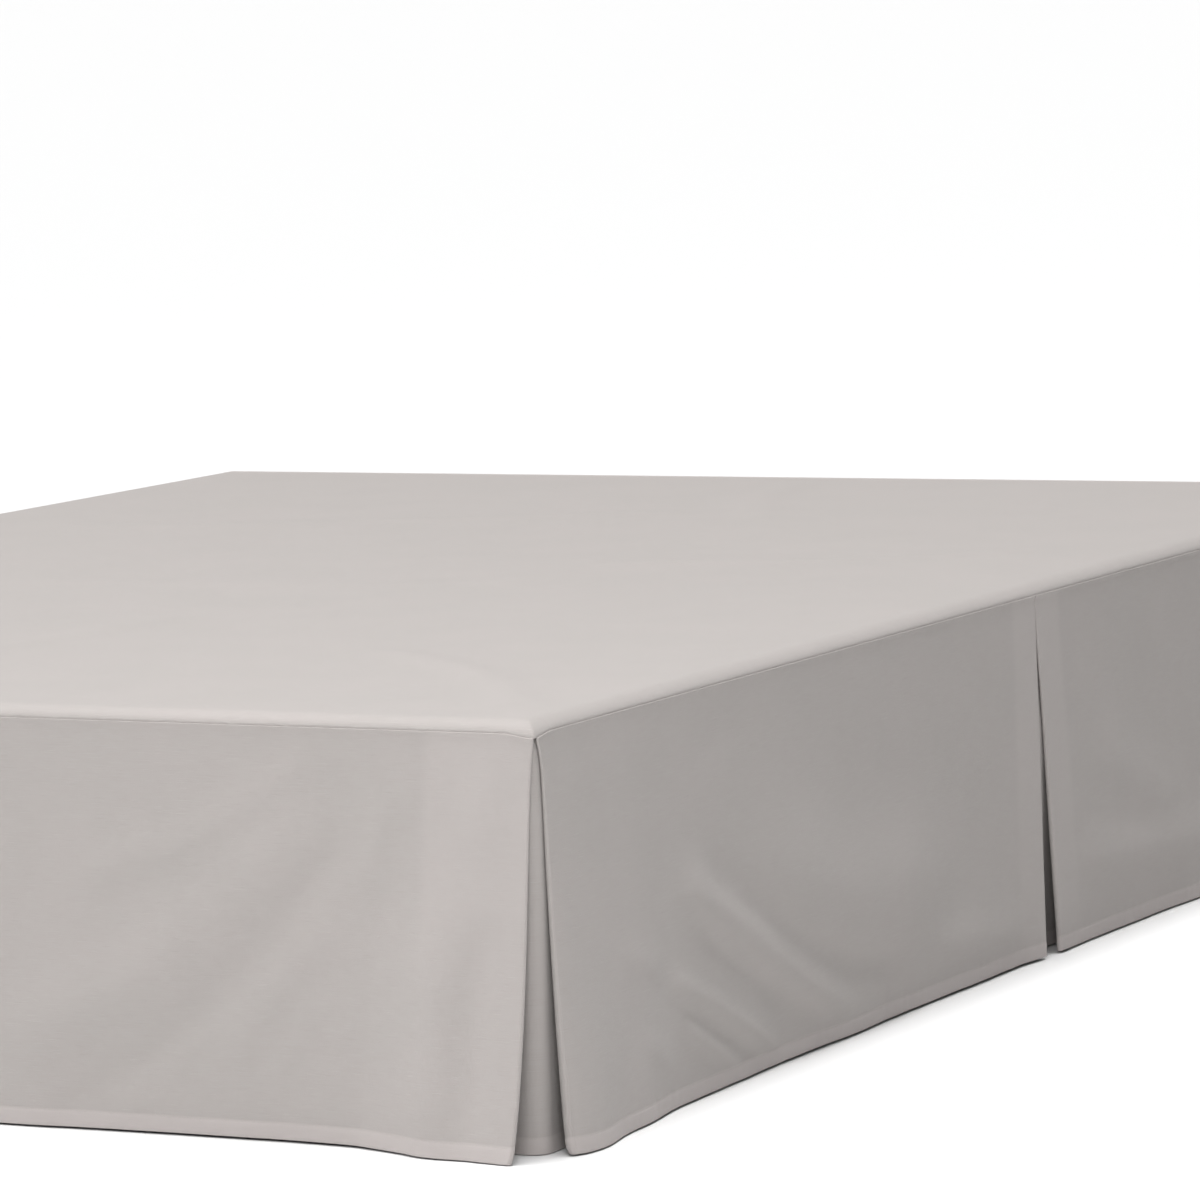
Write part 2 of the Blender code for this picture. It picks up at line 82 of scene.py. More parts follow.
# ---- how finely the pieces are made ----
COLUMN_STEP = 0.0045
ROW_STEP = 0.0070
FOLD_STEPS = 8
RETURN_STEPS = 14
PLEAT_COLUMNS = 30
CORNER_COLUMNS = 22
CORNER_STEPS = 15
ROLL_STEPS = 9
DECK_COLUMNS = 118
DECK_ROWS = 150
BASE_STEP = 0.020
WELT_SIDES = 10
LEG_SIDES = 48
STITCH_LINE = HEM - 0.0012  # the hem's stitching lies this far above its edge
STITCH_DROP = DROP - STITCH_LINE
STITCH_PITCH = 0.0032
STITCH_LENGTH = 0.0026
STITCH_UNEVEN = 0.0003
THREAD = 0.00022  # half its thickness
GROOVE_WIDTH = 0.0011  # of the groove that stitching draws
GROOVE_DEPTH = 0.00025
END_GROOVE_DEPTH = 0.0002
HEM_RISE = 0.00022  # how far a hem stands out on the right side
HEM_RAMP = 0.0012  # the height over which a hem's second layer begins
HEM_SHOWS = 0.0010  # and over which it begins to show
WEAVE_SHIFT = 3.1  # moves the weave on from one piece to the next
DECK_WEAVE = (7.7, 2.2)
# How far columns lie from a panel's edge, where it folds back and where it is plain
FOLD_COLUMNS = (0.0, 0.0012, 0.0028, 0.0050, 0.0080)
PLAIN_COLUMNS = (0.0, 0.0010, 0.0030, 0.0060)

# ---- how the cloth hangs ----
# along, flare of the hem, lift of the hem
FOOT_HANG = (
    (-0.745, 0.0290, -0.0008),
    (-0.700, 0.0270, -0.0005),
    (-0.650, 0.0160, -0.0003),
    (-0.590, 0.0070, 0.0002),
    (-0.420, 0.0050, 0.0003),
    (-0.210, 0.0095, 0.0000),
    (0.000, 0.0065, 0.0003),
    (0.220, 0.0120, -0.0001),
    (0.330, 0.0085, 0.0002),
    (0.520, 0.0050, 0.0003),
    (0.575, 0.0070, 0.0002),
    (0.602, 0.0135, -0.0001),
    (0.631, 0.0206, -0.0003),
    (0.660, 0.0300, -0.0005),
    (0.690, 0.0330, -0.0008),
    (0.715, 0.0350, -0.0010),
    (0.745, 0.0362, -0.0013),
)
RIGHT_HANG = (
    (-1.002, 0.0120, -0.0003),
    (-0.985, 0.0210, -0.0006),
    (-0.960, 0.0240, -0.0007),
    (-0.907, 0.0160, -0.0006),
    (-0.861, 0.0130, -0.0002),
    (-0.793, 0.0040, 0.0000),
    (-0.700, 0.0010, 0.0000),
    (-0.530, -0.0020, 0.0005),
    (-0.300, -0.0025, 0.0005),
    (-0.060, -0.0025, 0.0008),
    (0.004, 0.0030, 0.0010),
    (0.040, 0.0030, 0.0005),
    (0.140, 0.0010, 0.0000),
    (0.300, 0.0030, -0.0001),
    (0.430, 0.0070, -0.0003),
    (0.620, 0.0010, 0.0003),
    (0.840, 0.0030, 0.0000),
    (1.010, 0.0080, -0.0001),
)
LEFT_HANG = (
    (-1.002, 0.0140, -0.0004),
    (-0.960, 0.0220, -0.0006),
    (-0.880, 0.0120, -0.0003),
    (-0.760, 0.0030, 0.0000),
    (-0.560, -0.0015, 0.0004),
    (-0.320, 0.0020, 0.0002),
    (-0.080, -0.0010, 0.0006),
    (0.004, 0.0040, 0.0008),
    (0.040, 0.0040, 0.0005),
    (0.180, 0.0010, 0.0002),
    (0.400, 0.0050, -0.0001),
    (0.660, 0.0000, 0.0003),
    (0.860, 0.0040, 0.0000),
    (1.010, 0.0070, -0.0001),
)

# Soft ridges and hollows of the hung cloth: half width, rise, and the (along, drop) places
# that each runs through
FOOT_FOLDS = (
    (0.035, 0.0040, ((0.575, 0.055), (0.505, 0.112), (0.440, 0.168), (0.385, 0.210),
                     (0.300, 0.255), (0.200, 0.290))),
    (0.015, -0.0018, ((0.590, 0.080), (0.522, 0.158), (0.464, 0.218), (0.424, 0.254),
                      (0.384, 0.286), (0.325, 0.324), (0.275, 0.350))),
    (0.017, 0.0019, ((0.580, 0.000), (0.500, 0.054), (0.425, 0.100), (0.300, 0.136))),
    (0.016, 0.0013, ((0.575, 0.150), (0.540, 0.192), (0.495, 0.240), (0.440, 0.305))),
    (0.010, 0.0006, ((0.560, 0.225), (0.530, 0.262), (0.490, 0.325))),
    (0.015, 0.0013, ((0.632, 0.035), (0.610, 0.090), (0.592, 0.160))),
    (0.014, -0.0010, ((0.606, 0.120), (0.598, 0.230), (0.594, 0.400))),
    (0.036, 0.0060, ((0.664, 0.110), (0.661, 0.230), (0.658, 0.420))),
    (0.019, -0.0034, ((0.714, 0.140), (0.702, 0.250), (0.696, 0.420))),
    (0.020, 0.0022, ((0.712, -0.030), (0.714, 0.050), (0.716, 0.130))),
    (0.035, 0.0030, ((0.060, 0.090), (-0.040, 0.220), (-0.130, 0.330))),
    (0.018, -0.0012, ((0.050, 0.170), (-0.020, 0.250), (-0.060, 0.320))),
    (0.022, 0.0012, ((0.100, 0.230), (0.050, 0.280), (0.020, 0.330))),
    (0.032, 0.0038, ((-0.570, 0.055), (-0.460, 0.140), (-0.380, 0.220), (-0.260, 0.310))),
    (0.016, -0.0018, ((-0.560, 0.110), (-0.460, 0.190), (-0.390, 0.260), (-0.320, 0.330))),
    (0.024, 0.0018, ((-0.630, 0.180), (-0.570, 0.270), (-0.530, 0.340))),
    (0.018, 0.0014, ((-0.440, 0.040), (-0.340, 0.110), (-0.220, 0.170))),
    (0.020, 0.0016, ((-0.676, 0.100), (-0.676, 0.240), (-0.680, 0.400))),
)
RIGHT_FOLDS = (
    (0.062, 0.0100, ((-0.680, 0.110), (-0.580, 0.168), (-0.480, 0.212), (-0.380, 0.232),
                     (-0.280, 0.234), (-0.150, 0.214))),
    (0.018, -0.0036, ((-0.740, 0.148), (-0.620, 0.208), (-0.540, 0.248), (-0.460, 0.278),
                      (-0.360, 0.300), (-0.220, 0.308))),
    (0.023, 0.0064, ((-0.790, 0.152), (-0.700, 0.192), (-0.600, 0.250), (-0.510, 0.300),
                     (-0.420, 0.342), (-0.345, 0.352))),
    (0.013, -0.0024, ((-0.750, 0.202), (-0.640, 0.262), (-0.560, 0.300), (-0.470, 0.340))),
    (0.012, 0.0054, ((-0.800, 0.240), (-0.700, 0.284), (-0.620, 0.322), (-0.568, 0.346))),
    (0.009, -0.0018, ((-0.770, 0.268), (-0.680, 0.314), (-0.628, 0.342))),
    (0.010, 0.0038, ((-0.780, 0.282), (-0.690, 0.328), (-0.655, 0.346))),
    (0.015, 0.0020, ((-0.900, 0.200), (-0.800, 0.236))),
    (0.012, 0.0016, ((-0.870, 0.272), (-0.780, 0.330))),
    (0.024, 0.0034, ((-0.360, 0.300), (-0.180, 0.312), (-0.020, 0.326))),
    (0.030, -0.0020, ((-0.760, 0.050), (-0.580, 0.008))),
    (0.022, 0.0040, ((0.080, 0.270), (0.260, 0.284), (0.430, 0.292))),
    (0.030, 0.0030, ((0.120, 0.140), (0.220, 0.200), (0.380, 0.266))),
    (0.034, 0.0036, ((0.620, 0.110), (0.700, 0.200), (0.760, 0.300))),
    (0.016, -0.0018, ((0.640, 0.170), (0.700, 0.250), (0.740, 0.330))),
    (0.022, 0.0020, ((0.800, 0.200), (0.850, 0.270), (0.900, 0.330))),
)
LEFT_FOLDS = (
    (0.032, 0.0040, ((-0.400, 0.110), (-0.500, 0.180), (-0.590, 0.260), (-0.640, 0.320))),
    (0.018, -0.0018, ((-0.430, 0.170), (-0.520, 0.240), (-0.580, 0.310))),
    (0.022, 0.0024, ((-0.290, 0.170), (-0.360, 0.250), (-0.420, 0.325))),
    (0.026, 0.0024, ((-0.810, 0.150), (-0.760, 0.230), (-0.710, 0.310))),
    (0.014, 0.0012, ((-0.710, 0.250), (-0.670, 0.300), (-0.640, 0.335))),
    (0.032, 0.0034, ((0.240, 0.150), (0.320, 0.240), (0.390, 0.325))),
    (0.018, 0.0014, ((0.330, 0.220), (0.390, 0.280), (0.440, 0.330))),
    (0.030, 0.0026, ((0.710, 0.100), (0.660, 0.200), (0.620, 0.300))),
)

# The sewn hem is stiff and flattens the folds that reach it: by how much, and from which drop
HEM_HOLD = 0.5
HEM_HOLD_FROM = 0.300
FOLD_FADE = 0.06  # folds grow in over this much cloth under the seam

# Slow unevenness of hung cloth: rise, length along, length down, phase
WAVES = (
    (0.00035, 0.310, 0.90, 0.4),
    (0.00025, 0.173, -0.60, 2.1),
    (0.00018, 0.097, 0.41, 4.4),
    (0.00010, 0.053, -0.37, 1.2),
)
PUCKER_REACH = 0.0085  # of the puckers along the stitching
PUCKER_FADE = 0.040  # of the fainter ones above it
PUCKER_UNEVEN = 0.171  # the length over which they grow and fade
SEAM_PUCKER = 0.00009
SEAM_PUCKER_REACH = 0.010
# Puckers under the seam: share of the rise, length along, how far the shift moves them
SEAM_PUCKERS = ((1.0, 0.0163, 1.0), (0.7, 0.0274, 2.3))
# Puckers that the hem's stitching draws: rise, length along, phase
PUCKERS = (
    (0.00014, 0.0131, 0.3),
    (0.00013, 0.0187, 2.9),
    (0.00012, 0.0417, 1.1),
)

# Edges that fold back: drop, inset of the fold from its corner or pleat, radius of the fold
FOOT_RIGHT_EDGE = (
    (0.0000, 0.0005, 0.0008),
    (0.0180, 0.0030, 0.0009),
    (0.0785, 0.0072, 0.0011),
    (0.2700, 0.0117, 0.0020),
    (0.3463, 0.0162, 0.0022),
    (0.3546, 0.0185, 0.0022),
)
FOOT_LEFT_EDGE = (
    (0.0000, 0.0003, 0.0008),
    (0.0800, 0.0060, 0.0012),
    (0.2600, 0.0150, 0.0021),
    (0.3546, 0.0200, 0.0023),
)
SIDE_FOOT_EDGE = (
    (0.0000, 0.0042, 0.0008),
    (0.0155, 0.0095, 0.0009),
    (0.0350, 0.0125, 0.0010),
    (0.0800, 0.0138, 0.0014),
    (0.2750, 0.0138, 0.0034),
    (0.3460, 0.0140, 0.0040),
    (0.3546, 0.0170, 0.0040),
)
PLEAT_FRONT_EDGE = (
    (0.0000, 0.0003, 0.0008),
    (0.1180, -0.0004, 0.0010),
    (0.2800, -0.0012, 0.0021),
    (0.3546, -0.0002, 0.0022),
)
PLEAT_REAR_EDGE = (
    (0.0000, 0.0003, 0.0008),
    (0.0300, 0.0018, 0.0008),
    (0.1000, 0.0105, 0.0010),
    (0.1630, 0.0180, 0.0016),
    (0.2830, 0.0275, 0.0021),
    (0.3546, 0.0325, 0.0022),
)

# How far a return shows through the cloth in front of it: drop, share
FOOT_SHOWS = ((0.0, 0.44), (0.10, 0.44), (0.22, 0.09), (0.36, 0.03))
SIDE_SHOWS = ((0.0, 0.06), (0.36, 0.0))
PLEAT_SHOWS = ((0.0, 0.46), (0.12, 0.42), (0.28, 0.24), (0.36, 0.20))
SHOWS_EDGE = 0.014  # over how much cloth a return's end fades

# Inserts: drop, out
CORNER_INSERT_FOOT = ((0.0, -0.0036), (0.118, -0.0039), (0.250, -0.0060), (0.3546, -0.0080))
CORNER_INSERT_SIDE = ((0.0, -0.0036), (0.118, -0.0039), (0.250, -0.0070), (0.3546, -0.0100))
CORNER_INSERT_BEND = ((0.0, 0.0080), (0.118, 0.0130), (0.3546, 0.0160))
PLEAT_INSERT = ((0.0, -0.0036), (0.118, -0.0039), (0.190, -0.0075), (0.3546, -0.0220))
# How far above the plain drop an insert's hem hangs
CORNER_INSERT_LIFT = -0.0015
PLEAT_INSERT_LIFT = 0.0005
PLEAT_SWAY = 0.0006

# The deck's rows at its head's hem, and how its cloth lies
DECK_HEAD_ROWS = (0.0006, 0.0030, 0.0080)
DECK_STITCH_ROWS = (0.0012, 0.0, -0.0012)
DECK_HEM_RAMP = 0.0016
DECK_HEM_RISE = 0.00015
DECK_WAVE = 0.00035
DECK_FADE = 0.05  # wrinkles grow in over this much cloth from the rolled edge

# Wrinkles of the deck: half width, rise, (x, y) places that it runs through
DECK_WRINKLES = (
    (0.020, 0.0024, ((-0.70, -0.90), (-0.50, -0.76), (-0.30, -0.55))),
    (0.018, 0.0023, ((0.71, -0.93), (0.56, -0.74), (0.38, -0.60))),
    (0.022, 0.0015, ((-0.10, -0.98), (0.00, -0.66), (0.05, -0.35))),
    (0.026, 0.0021, ((-0.62, 0.35), (-0.30, 0.44), (0.10, 0.62))),
    (0.020, 0.0018, ((0.20, 0.10), (0.44, 0.16), (0.66, 0.30))),
    (0.030, 0.0015, ((-0.35, -0.15), (0.00, -0.12), (0.30, -0.05))),
    (0.020, 0.0018, ((0.05, 0.98), (0.10, 0.74), (0.22, 0.52))),
    (0.018, 0.0015, ((-0.72, -0.20), (-0.60, -0.04), (-0.45, 0.05))),
)


# ---- small tools ----
QUARTER_TURN = math.pi / 2


def ease(value):
    """0 below 0, 1 above 1, and a smooth step between."""
    value = np.clip(value, 0.0, 1.0)
    return value * value * (3 - 2 * value)


def bell(value):
    """1 at 0, and falling away on both sides."""
    return np.exp(-value ** 2)


def curve(rows, keys, column=1):
    """A smooth curve through a table's column that never overshoots its rows."""
    x = np.array([row[0] for row in rows])
    y = np.array([row[column] for row in rows])
    gap = np.diff(x)
    slope = np.diff(y) / gap
    before, after = slope[:-1], slope[1:]
    weight = (2 * gap[1:] + gap[:-1], gap[1:] + 2 * gap[:-1])
    steady = before * after > 0
    safe_before = np.where(steady, before, 1.0)
    safe_after = np.where(steady, after, 1.0)
    middle = (weight[0] + weight[1]) / (weight[0] / safe_before + weight[1] / safe_after)
    tangent = np.concatenate(([slope[0]], np.where(steady, middle, 0.0), [slope[-1]]))
    keys = np.clip(keys, x[0], x[-1])
    index = np.clip(np.searchsorted(x, keys, side="right") - 1, 0, len(gap) - 1)
    t = (keys - x[index]) / gap[index]
    rise = y[index + 1] - y[index]
    start = tangent[index] * gap[index]
    end = tangent[index + 1] * gap[index]
    return (y[index] + t * start + t * t * (3 * rise - 2 * start - end)
            + t ** 3 * (start + end - 2 * rise))


def ridges(table, across, down):
    """The sum of a table's soft ridges at places on a surface."""
    total = np.zeros(np.broadcast(across, down).shape)
    for width, rise, places in table:
        steps = np.arange(len(places))
        fine = np.linspace(0, steps[-1], 6 * steps[-1] + 1)
        line = [curve(list(zip(steps, axis)), fine) for axis in zip(*places)]
        reach = spread(np.column_stack(line))
        nearest = np.full(total.shape, np.inf)
        where = np.zeros(total.shape)
        for index in range(len(fine) - 1):
            run = [axis[index + 1] - axis[index] for axis in line]
            length = math.hypot(*run)
            ahead = ((across - line[0][index]) * run[0] + (down - line[1][index]) * run[1]) / length
            held = np.clip(ahead, 0, length)
            away = np.hypot(across - line[0][index] - held * run[0] / length,
                            down - line[1][index] - held * run[1] / length)
            closer = away < nearest
            nearest = np.where(closer, away, nearest)
            where = np.where(closer, reach[index] + held, where)
        taper = min(0.35 * reach[-1], 3 * width)
        ends = ease(where / taper) * ease((reach[-1] - where) / taper)
        total += rise * bell(nearest / width) * ends
    return total


def spread(places):
    """Distances along a row of points, from the first one."""
    steps = np.linalg.norm(np.diff(places, axis=0), axis=1)
    return np.concatenate(([0.0], np.cumsum(steps)))


def row_drops():
    """The drops of the cloth's rows: closer together at the seam and at the hem's stitching."""
    top = [0.0006, 0.0014, 0.0024, 0.0036, 0.0052, 0.0080, 0.0120]
    low = [STITCH_DROP + step for step in
           (-0.0042, -0.0020, -0.0010, 0.0, 0.0010, 0.0020, 0.0045, 0.0080)]
    low += [DROP - 0.0030, DROP - 0.0014, DROP - 0.0006]
    count = round((low[0] - top[-1]) / ROW_STEP)
    between = np.linspace(top[-1], low[0], count + 1)[1:-1]
    return np.concatenate((top, between, low))


DROPS = row_drops()
STITCH_ROW = int(np.argmin(abs(DROPS - STITCH_DROP)))


# ---- cloth ----
class Side:
    """One side of the bed, with the tables that say how its cloth hangs."""

    def __init__(self, along, out, distance, corners, hang, folds, phase):
        self.along = along
        self.out = out
        self.distance = distance
        self.corners = corners
        self.hang = hang
        self.folds = folds
        self.phase = phase
        self.mirrored = out[0] < 0

    def place(self, along, out, height):
        x = self.along[0] * along + self.out[0] * (self.distance + out)
        y = self.along[1] * along + self.out[1] * (self.distance + out) + BED_CENTRE_Y
        return np.stack(np.broadcast_arrays(x, y, height), axis=-1)

    def height(self, along, drop):
        nearest = np.min([abs(corner - along) for corner in self.corners], axis=0)
        dip = CORNER_DIP * (1 - ease(nearest / CORNER_DIP_REACH))
        dip = dip * np.clip(1 - drop / CORNER_DIP_REACH, 0, 1)
        return SEAM_HEIGHT - dip - drop * (DROP - curve(self.hang, along, 2)) / DROP

    def surface(self, along, drop):
        """How far out the middle of a panel's cloth hangs."""
        flare = curve(self.hang, along, 1) * (drop / DROP) ** FLARE_POWER
        ridge = SEAM_RIDGE * bell(drop / SEAM_RIDGE_REACH)
        fade = ease(drop / FOLD_FADE)
        hold = 1 - HEM_HOLD * ease((drop - HEM_HOLD_FROM) / (DROP - HEM_HOLD_FROM))
        out = flare + ridge + fade * hold * ridges(self.folds, along, drop)
        for rise, length, down, phase in WAVES:
            turn = math.tau * (along / length + drop / down)
            out = out + fade * rise * np.sin(turn + phase + self.phase)
        return out


FOOT = Side((1, 0), (0, -1), BED_LENGTH / 2, (-BED_WIDTH / 2, BED_WIDTH / 2),
            FOOT_HANG, FOOT_FOLDS, 0.0)
RIGHT = Side((0, 1), (1, 0), BED_WIDTH / 2, (-BED_LENGTH / 2,), RIGHT_HANG, RIGHT_FOLDS, 1.7)
LEFT = Side((0, 1), (-1, 0), BED_WIDTH / 2, (-BED_LENGTH / 2,), LEFT_HANG, LEFT_FOLDS, 3.9)


class FoldedEdge:
    """An edge of a panel that folds back behind it to meet the end of an insert."""

    columns = FOLD_COLUMNS

    def __init__(self, side, datum, heading, rows, length, insert, shows):
        self.side = side
        self.datum = datum
        self.heading = heading
        self.rows = rows
        self.length = length
        self.insert = insert
        self.shows = shows

    def face_end(self, drop):
        inset = curve(self.rows, drop, 1) + CLOTH / 2 + curve(self.rows, drop, 2)
        return self.datum - self.heading * inset

    def turn(self, drop):
        """The fold and the return behind it, outwards from the face, as (along, out) columns."""
        radius = curve(self.rows, drop, 2)
        start = self.face_end(drop)
        middle = self.side.surface(start, drop) - radius
        target = curve(self.insert, drop) + LAYER
        slope = np.zeros_like(radius)
        for _ in range(6):
            lean = (middle - radius * np.cos(slope) - target) / self.length
            slope = np.arcsin(np.clip(lean, -0.9, 0.9))
        angle = (math.pi - slope) * np.arange(1, FOLD_STEPS + 1) / FOLD_STEPS
        fold_reach = radius * np.sin(angle)
        fold_out = middle + radius * np.cos(angle)
        run = self.length * np.arange(1, RETURN_STEPS + 1) / RETURN_STEPS
        back_reach = fold_reach[:, -1:] - run * np.cos(slope)
        back_out = fold_out[:, -1:] - run * np.sin(slope)
        reach = np.concatenate((fold_reach, back_reach), axis=1)
        return start + self.heading * reach, np.concatenate((fold_out, back_out), axis=1)

    def seam(self, drop):
        return self.turn(drop)[0][:, -1:]

    def backing(self, drop, reach):
        """How much the return shows at a place that it runs on past by reach."""
        return curve(self.shows, drop) * ease(reach / SHOWS_EDGE + 0.5)


class PlainEdge:
    """A straight hemmed edge."""

    columns = PLAIN_COLUMNS

    def __init__(self, along):
        self.along = along

    def face_end(self, drop):
        return np.full_like(drop, self.along)

    def turn(self, drop):
        empty = np.zeros((len(drop), 0))
        return empty, empty


def grid_normals(middle, mirrored):
    """The cloth's right side at each point of a grid whose rows go down."""
    down = np.gradient(middle, axis=0)
    along = np.gradient(middle, axis=1)
    normal = np.cross(down, along)
    normal /= np.linalg.norm(normal, axis=-1, keepdims=True)
    return -normal if mirrored else normal


def cloth_shell(name, middle, front, back, marks, mirrored):
    """A closed sheet of cloth with rounded borders, round a grid of the points in its middle.

    front and back are how far its two sides lie from the middle.  marks holds three numbers for
    each point, which the cloth's material reads: place along the thread, place down, and how
    far the cloth is backed by a second layer.
    """
    rows, columns = middle.shape[:2]
    normal = grid_normals(middle, mirrored)
    fronts = middle + normal * front[..., None]
    backs = middle - normal * back[..., None]
    row = np.concatenate((np.zeros(columns - 1), np.arange(rows - 1),
                          np.full(columns - 1, rows - 1), np.arange(rows - 1, 0, -1))).astype(int)
    column = np.concatenate((np.arange(columns - 1), np.full(rows - 1, columns - 1),
                             np.arange(columns - 1, 0, -1), np.zeros(rows - 1))).astype(int)
    edge = middle[row, column]
    inner = middle[np.clip(row, 1, rows - 2), np.clip(column, 1, columns - 2)]
    outward = edge - inner
    outward /= np.linalg.norm(outward, axis=-1, keepdims=True)
    loops = [row * columns + column]
    points = [fronts.reshape(-1, 3), backs.reshape(-1, 3)]
    notes = [marks.reshape(-1, 3), marks.reshape(-1, 3)]
    count = 2 * rows * columns
    for degrees in (35, 90, 145):
        lean, bulge = math.cos(math.radians(degrees)), math.sin(math.radians(degrees))
        depth = (front if lean > 0 else back)[row, column][:, None]
        points.append(edge + normal[row, column] * depth * lean + outward * bulge * CLOTH / 2)
        notes.append(marks[row, column])
        loops.append(count + np.arange(len(row)))
        count += len(row)
    loops.append(rows * columns + row * columns + column)
    corner = (np.arange(rows - 1)[:, None] * columns + np.arange(columns - 1)).reshape(-1)
    quad = np.stack((corner, corner + columns, corner + columns + 1, corner + 1), axis=1)
    faces = [quad, quad[:, ::-1] + rows * columns]
    for near, far in zip(loops, loops[1:]):
        faces.append(np.stack((near, np.roll(near, -1), np.roll(far, -1), far), axis=1))
    faces = np.concatenate(faces)
    if mirrored:
        faces = faces[:, ::-1]
    piece = add_mesh(name, np.concatenate(points), faces)
    mark = piece.data.attributes.new("weave", "FLOAT_VECTOR", "POINT")
    mark.data.foreach_set("vector", np.concatenate(notes).astype(np.float32).reshape(-1))
    return piece, fronts, normal


def add_object(name, data):
    thing = bpy.data.objects.new(name, data)
    bpy.context.scene.collection.objects.link(thing)
    return thing


def add_mesh(name, points, faces, sharp=None):
    """A smooth mesh object, with its edges sharp from an angle if one is given."""
    data = bpy.data.meshes.new(name)
    faces = faces.tolist() if isinstance(faces, np.ndarray) else faces
    data.from_pydata(np.asarray(points).tolist(), [], faces)
    data.update()
    data.shade_smooth()
    if sharp is not None:
        data.set_sharp_from_angle(angle=math.radians(sharp))
    return add_object(name, data)


def ring_faces(rings, count, closed=False):
    """Faces between rings of points, which are capped at both ends or closed on themselves."""
    faces = []
    for ring in range(rings if closed else rings - 1):
        low, high = ring * count, (ring + 1) % rings * count
        for index in range(count):
            after = (index + 1) % count
            faces.append((low + index, low + after, high + after, high + index))
    if not closed:
        faces.append(tuple(reversed(range(count))))
        faces.append(tuple(range((rings - 1) * count, rings * count)))
    return faces


def hem_depths(drop, shape):
    """How far the two sides of hemmed cloth lie from its middle."""
    above = (STITCH_DROP - drop) / HEM_RAMP
    hem = ease(0.5 - above * 0.5)
    groove = bell((drop - STITCH_DROP) / GROOVE_WIDTH)
    front = CLOTH / 2 + HEM_RISE * hem - GROOVE_DEPTH * groove
    back = CLOTH / 2 + HEM_EXTRA * hem
    return np.broadcast_to(front, shape).copy(), np.broadcast_to(back, shape).copy()


def puckers(thread, drop, shift):
    """The small ripples along a hem's stitching, which die out above it."""
    near = bell((drop - STITCH_DROP) / PUCKER_REACH)
    above = 0.35 * bell(np.maximum(DROP - drop, 0) / PUCKER_FADE)
    total = 0.0
    for rise, length, phase in PUCKERS:
        total = total + rise * np.sin(math.tau * thread / length + phase + shift)
    uneven = 0.65 + 0.35 * np.sin(math.tau * thread / PUCKER_UNEVEN + 2 * shift)
    return (near + above) * total * uneven


def seam_puckers(thread, drop, shift):
    """The faint ripples under the seam at the top of a panel."""
    wave = sum(share * np.sin(math.tau * thread / length + moved * shift)
               for share, length, moved in SEAM_PUCKERS)
    return SEAM_PUCKER * wave * bell(drop / SEAM_PUCKER_REACH) * ease(drop / 0.002)


def stations(start, end, low_columns, high_columns):
    """Places along a panel's top edge, closer together by its ends."""
    inner_low = start + np.array(low_columns)
    inner_high = (end - np.array(high_columns))[::-1]
    count = round((inner_high[0] - inner_low[-1]) / COLUMN_STEP)
    between = np.linspace(inner_low[-1], inner_high[0], count + 1)[1:-1]
    return np.concatenate((inner_low, between, inner_high))


def stitches(name, line, normal):
    """A line of machine stitches on the cloth, each a slim thread that dips in at both ends."""
    reach = spread(line)
    count = int((reach[-1] - STITCH_PITCH) / STITCH_PITCH)
    rings, sides = (-1.0, -0.62, 0.0, 0.62, 1.0), 5
    points, faces = [], []
    number = np.arange(count)
    centres = STITCH_PITCH * (0.5 + number) + STITCH_UNEVEN * np.sin(number * 2.4)

    def at(values, where):
        return np.stack([np.interp(where, reach, values[:, axis]) for axis in range(3)], axis=1)

    middles = at(line, centres)
    ahead = at(line, centres + 0.0005) - at(line, centres - 0.0005)
    ahead /= np.linalg.norm(ahead, axis=1, keepdims=True)
    up = at(normal, centres)
    up /= np.linalg.norm(up, axis=1, keepdims=True)
    across = np.cross(ahead, up)
    for share in rings:
        width = THREAD * math.sqrt(1 - share * share)
        rise = up * THREAD * (0.55 - 1.1 * share * share)
        spine = middles + ahead * share * STITCH_LENGTH / 2 + rise
        for side in range(sides if width else 1):
            angle = math.tau * side / sides
            points.append(spine + (across * math.cos(angle) + up * math.sin(angle)) * width)
    points = np.stack(points, axis=1)
    per = points.shape[1]
    first = np.arange(count)[:, None] * per
    for side in range(sides):
        after = (side + 1) % sides
        faces.append(first + np.array([[0, 1 + after, 1 + side]]))
        faces.append(first + np.array([[per - 1, per - 1 - sides + side, per - 1 - sides + after]]))
    triangles = np.concatenate(faces)
    quads = []
    for ring in range(len(rings) - 3):
        for side in range(sides):
            after = (side + 1) % sides
            low, high = 1 + ring * sides, 1 + (ring + 1) * sides
            quads.append(first + np.array([[low + side, low + after, high + after, high + side]]))
    faces = triangles.tolist() + np.concatenate(quads).tolist()
    piece = add_mesh(name, points.reshape(-1, 3), faces)
    finish_piece(piece, THREAD_MATERIAL, "skirt_cloth")
    return piece


def finish_piece(piece, material, slot, *nodes):
    piece.data.materials.append(material)
    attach(piece, "root")
    if nodes:
        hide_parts(*nodes)


def hem_backing(drop):
    """Where the hem's second layer backs the cloth."""
    return ease(0.5 - (DROP - HEM - drop) / HEM_SHOWS)


def weave_marks(thread, drop, backed, shift):
    """What the cloth's material reads; shift moves its weave away from the next piece's."""
    return np.stack(np.broadcast_arrays(thread + WEAVE_SHIFT * shift, drop, backed), axis=-1)


